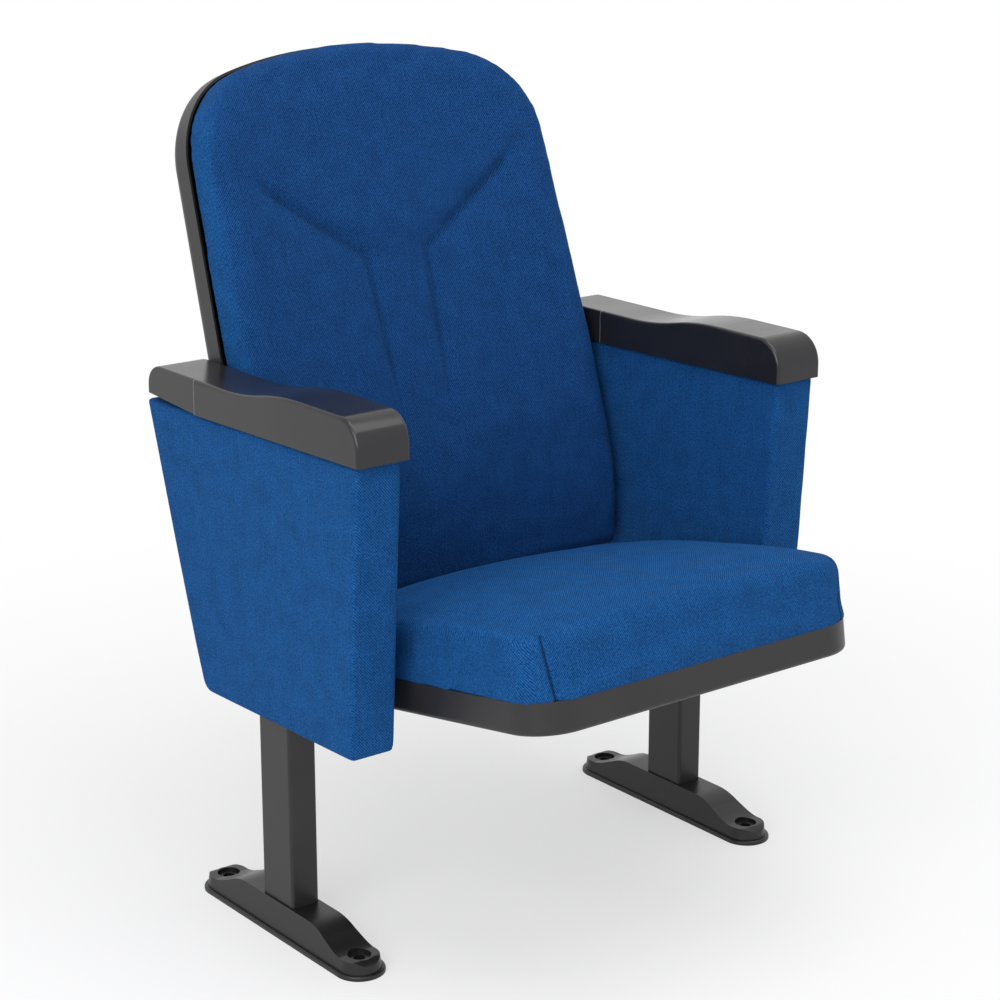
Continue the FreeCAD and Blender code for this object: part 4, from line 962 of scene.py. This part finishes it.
class SEAT_OT_stage(bpy.types.Operator):
    """Pale floor, soft studio light and the camera at the photograph's viewpoint"""
    bl_idname = "seat.stage"
    bl_label = "Stage"

    def execute(self, context):
        stage = context.scene.seat_stage
        self.make_floor(stage)
        self.make_world(context, stage)
        self.make_lamp(context, "key", place=(-2.6, -1.6, 2.0), target=(0.0, 0.0, 0.45),
                       size=2.4, power=stage.key)
        self.make_lamp(context, "top", place=(0.2, -0.6, 3.2), target=(0.0, 0.0, 0.4),
                       size=2.6, power=stage.top)
        self.make_camera(context)
        context.scene.view_settings.view_transform = "Standard"
        return {"FINISHED"}

    def make_floor(self, stage):
        """A round floor that turns into the white of the background far from the seat."""
        bpy.ops.object.select_all(action="DESELECT")
        bpy.ops.mesh.primitive_circle_add(vertices=128, radius=FLOOR_RADIUS,
                                          fill_type="NGON", location=(0.0, 0.0, 0.0))
        floor = bpy.context.object
        floor.name = "floor"
        material, shader = blank("pale_floor")
        for socket, value in (("Base Color", (*stage.floor_colour, 1.0)),
                              ("Roughness", 0.7), ("Specular IOR Level", 0.2)):
            shader.inputs[socket].default_value = value
        place = node_of(material, "ShaderNodeTexCoord", (-900, 300))
        reach = node_of(material, "ShaderNodeVectorMath", (-700, 300), operation="LENGTH")
        fade = node_of(material, "ShaderNodeMapRange", (-500, 300),
                       {"From Min": 0.45, "From Max": 1.5, "To Min": 0.5},
                       interpolation_type="SMOOTHSTEP")
        share = node_of(material, "ShaderNodeMath", (-200, 500), operation="MULTIPLY")
        white = node_of(material, "ShaderNodeEmission", (0, 500))
        mix = node_of(material, "ShaderNodeMixShader", (300, 300))
        output = material.node_tree.nodes["Material Output"]
        output.location = (600, 200)
        link(material, place.outputs["Object"], reach.inputs[0])
        link(material, reach.outputs["Value"], fade.inputs["Value"])
        link(material, self.seen_as_white(material, "Is Glossy Ray"), share.inputs[0])
        link(material, fade.outputs["Result"], share.inputs[1])
        link(material, share.outputs["Value"], mix.inputs["Fac"])
        link(material, shader.outputs["BSDF"], mix.inputs[1])
        link(material, white.outputs["Emission"], mix.inputs[2])
        link(material, mix.outputs["Shader"], output.inputs["Surface"])
        floor.data.materials.append(material)

    def make_world(self, context, stage):
        """White to the eye and in reflections, a gentler even light on everything else."""
        world = context.scene.world or bpy.data.worlds.new("room")
        context.scene.world = world
        world.use_nodes = True
        world.node_tree.nodes.clear()
        room = node_of(world, "ShaderNodeBackground", (0, 100),
                       {"Color": WHITE, "Strength": stage.sky})
        white = node_of(world, "ShaderNodeBackground", (0, -100),
                        {"Color": WHITE, "Strength": 1.0})
        mix = node_of(world, "ShaderNodeMixShader", (300, 0))
        output = node_of(world, "ShaderNodeOutputWorld", (500, 0))
        link(world, self.seen_as_white(world, "Is Glossy Ray", "Is Transmission Ray"),
             mix.inputs["Fac"])
        link(world, room.outputs["Background"], mix.inputs[1])
        link(world, white.outputs["Background"], mix.inputs[2])
        link(world, mix.outputs["Shader"], output.inputs["Surface"])

    def seen_as_white(self, owner, *kinds):
        """1 for the camera's rays and the given kinds of rays, 0 for all others."""
        rays = node_of(owner, "ShaderNodeLightPath", (-900, 700))
        seen = rays.outputs["Is Camera Ray"]
        for step, kind in enumerate(kinds):
            either = node_of(owner, "ShaderNodeMath", (-700 + 200 * step, 700),
                             operation="MAXIMUM")
            link(owner, seen, either.inputs[0])
            link(owner, rays.outputs[kind], either.inputs[1])
            seen = either.outputs["Value"]
        return seen

    def make_lamp(self, context, name, place, target, size, power):
        """A square soft light at one place, turned to another."""
        lamp = bpy.data.lights.new(name, "AREA")
        lamp.shape = "SQUARE"
        lamp.size = size
        lamp.energy = power
        holder = bpy.data.objects.new(name, lamp)
        holder.location = place
        holder.rotation_mode = "QUATERNION"
        way = Vector(target) - Vector(place)
        holder.rotation_quaternion = way.to_track_quat("-Z", "Y")
        context.scene.collection.objects.link(holder)

    def make_camera(self, context):
        camera = bpy.data.cameras.new("camera")
        camera.lens = CAMERA_LENS
        camera.sensor_width = 36.0
        camera.clip_end = 100.0
        holder = bpy.data.objects.new("camera", camera)
        holder.location = CAMERA_AT
        back = Vector((math.sin(CAMERA_AZIMUTH) * math.cos(CAMERA_ELEVATION),
                       -math.cos(CAMERA_AZIMUTH) * math.cos(CAMERA_ELEVATION),
                       math.sin(CAMERA_ELEVATION)))
        holder.rotation_mode = "QUATERNION"
        holder.rotation_quaternion = (-back).to_track_quat("-Z", "Y")
        context.scene.collection.objects.link(holder)
        context.scene.camera = holder


OPERATORS = (SEAT_OT_stage, SEAT_OT_seat_cushion, SEAT_OT_back_cushion, SEAT_OT_side_panels,
             SEAT_OT_armrests, SEAT_OT_mouldings, SEAT_OT_metalwork, SEAT_OT_inner_parts)
GROUPS = {"seat_fabric": FabricSettings, "seat_cushions": CushionSettings,
          "seat_panels": PanelSettings, "seat_stage": StageSettings}


class SEAT_PT_pieces(bpy.types.Panel):
    """Lists the seat's pieces in the 3D view's sidebar"""
    bl_label = "Auditorium Seat"
    bl_idname = "SEAT_PT_pieces"
    bl_space_type = "VIEW_3D"
    bl_region_type = "UI"
    bl_category = "Seat"

    def draw(self, context):
        for operator in OPERATORS:
            self.layout.operator(operator.bl_idname)
        for group in GROUPS:
            settings = getattr(context.scene, group)
            box = self.layout.box()
            for name in settings.bl_rna.properties.keys():
                if name not in ("rna_type", "name"):
                    box.prop(settings, name)


CLASSES = (*GROUPS.values(), *OPERATORS, SEAT_PT_pieces)


def register():
    for kind in CLASSES:
        bpy.utils.register_class(kind)
    for name, kind in GROUPS.items():
        setattr(bpy.types.Scene, name, PointerProperty(type=kind))


def unregister():
    for name in GROUPS:
        delattr(bpy.types.Scene, name)
    for kind in reversed(CLASSES):
        bpy.utils.unregister_class(kind)


def main():
    register()
    bpy.ops.seat.stage()
    bpy.ops.seat.seat_cushion()
    bpy.ops.seat.back_cushion()
    bpy.ops.seat.side_panels()
    bpy.ops.seat.armrests()
    bpy.ops.seat.mouldings()
    bpy.ops.seat.metalwork()
    bpy.ops.seat.inner_parts()


if __name__ == "__main__":
    main()
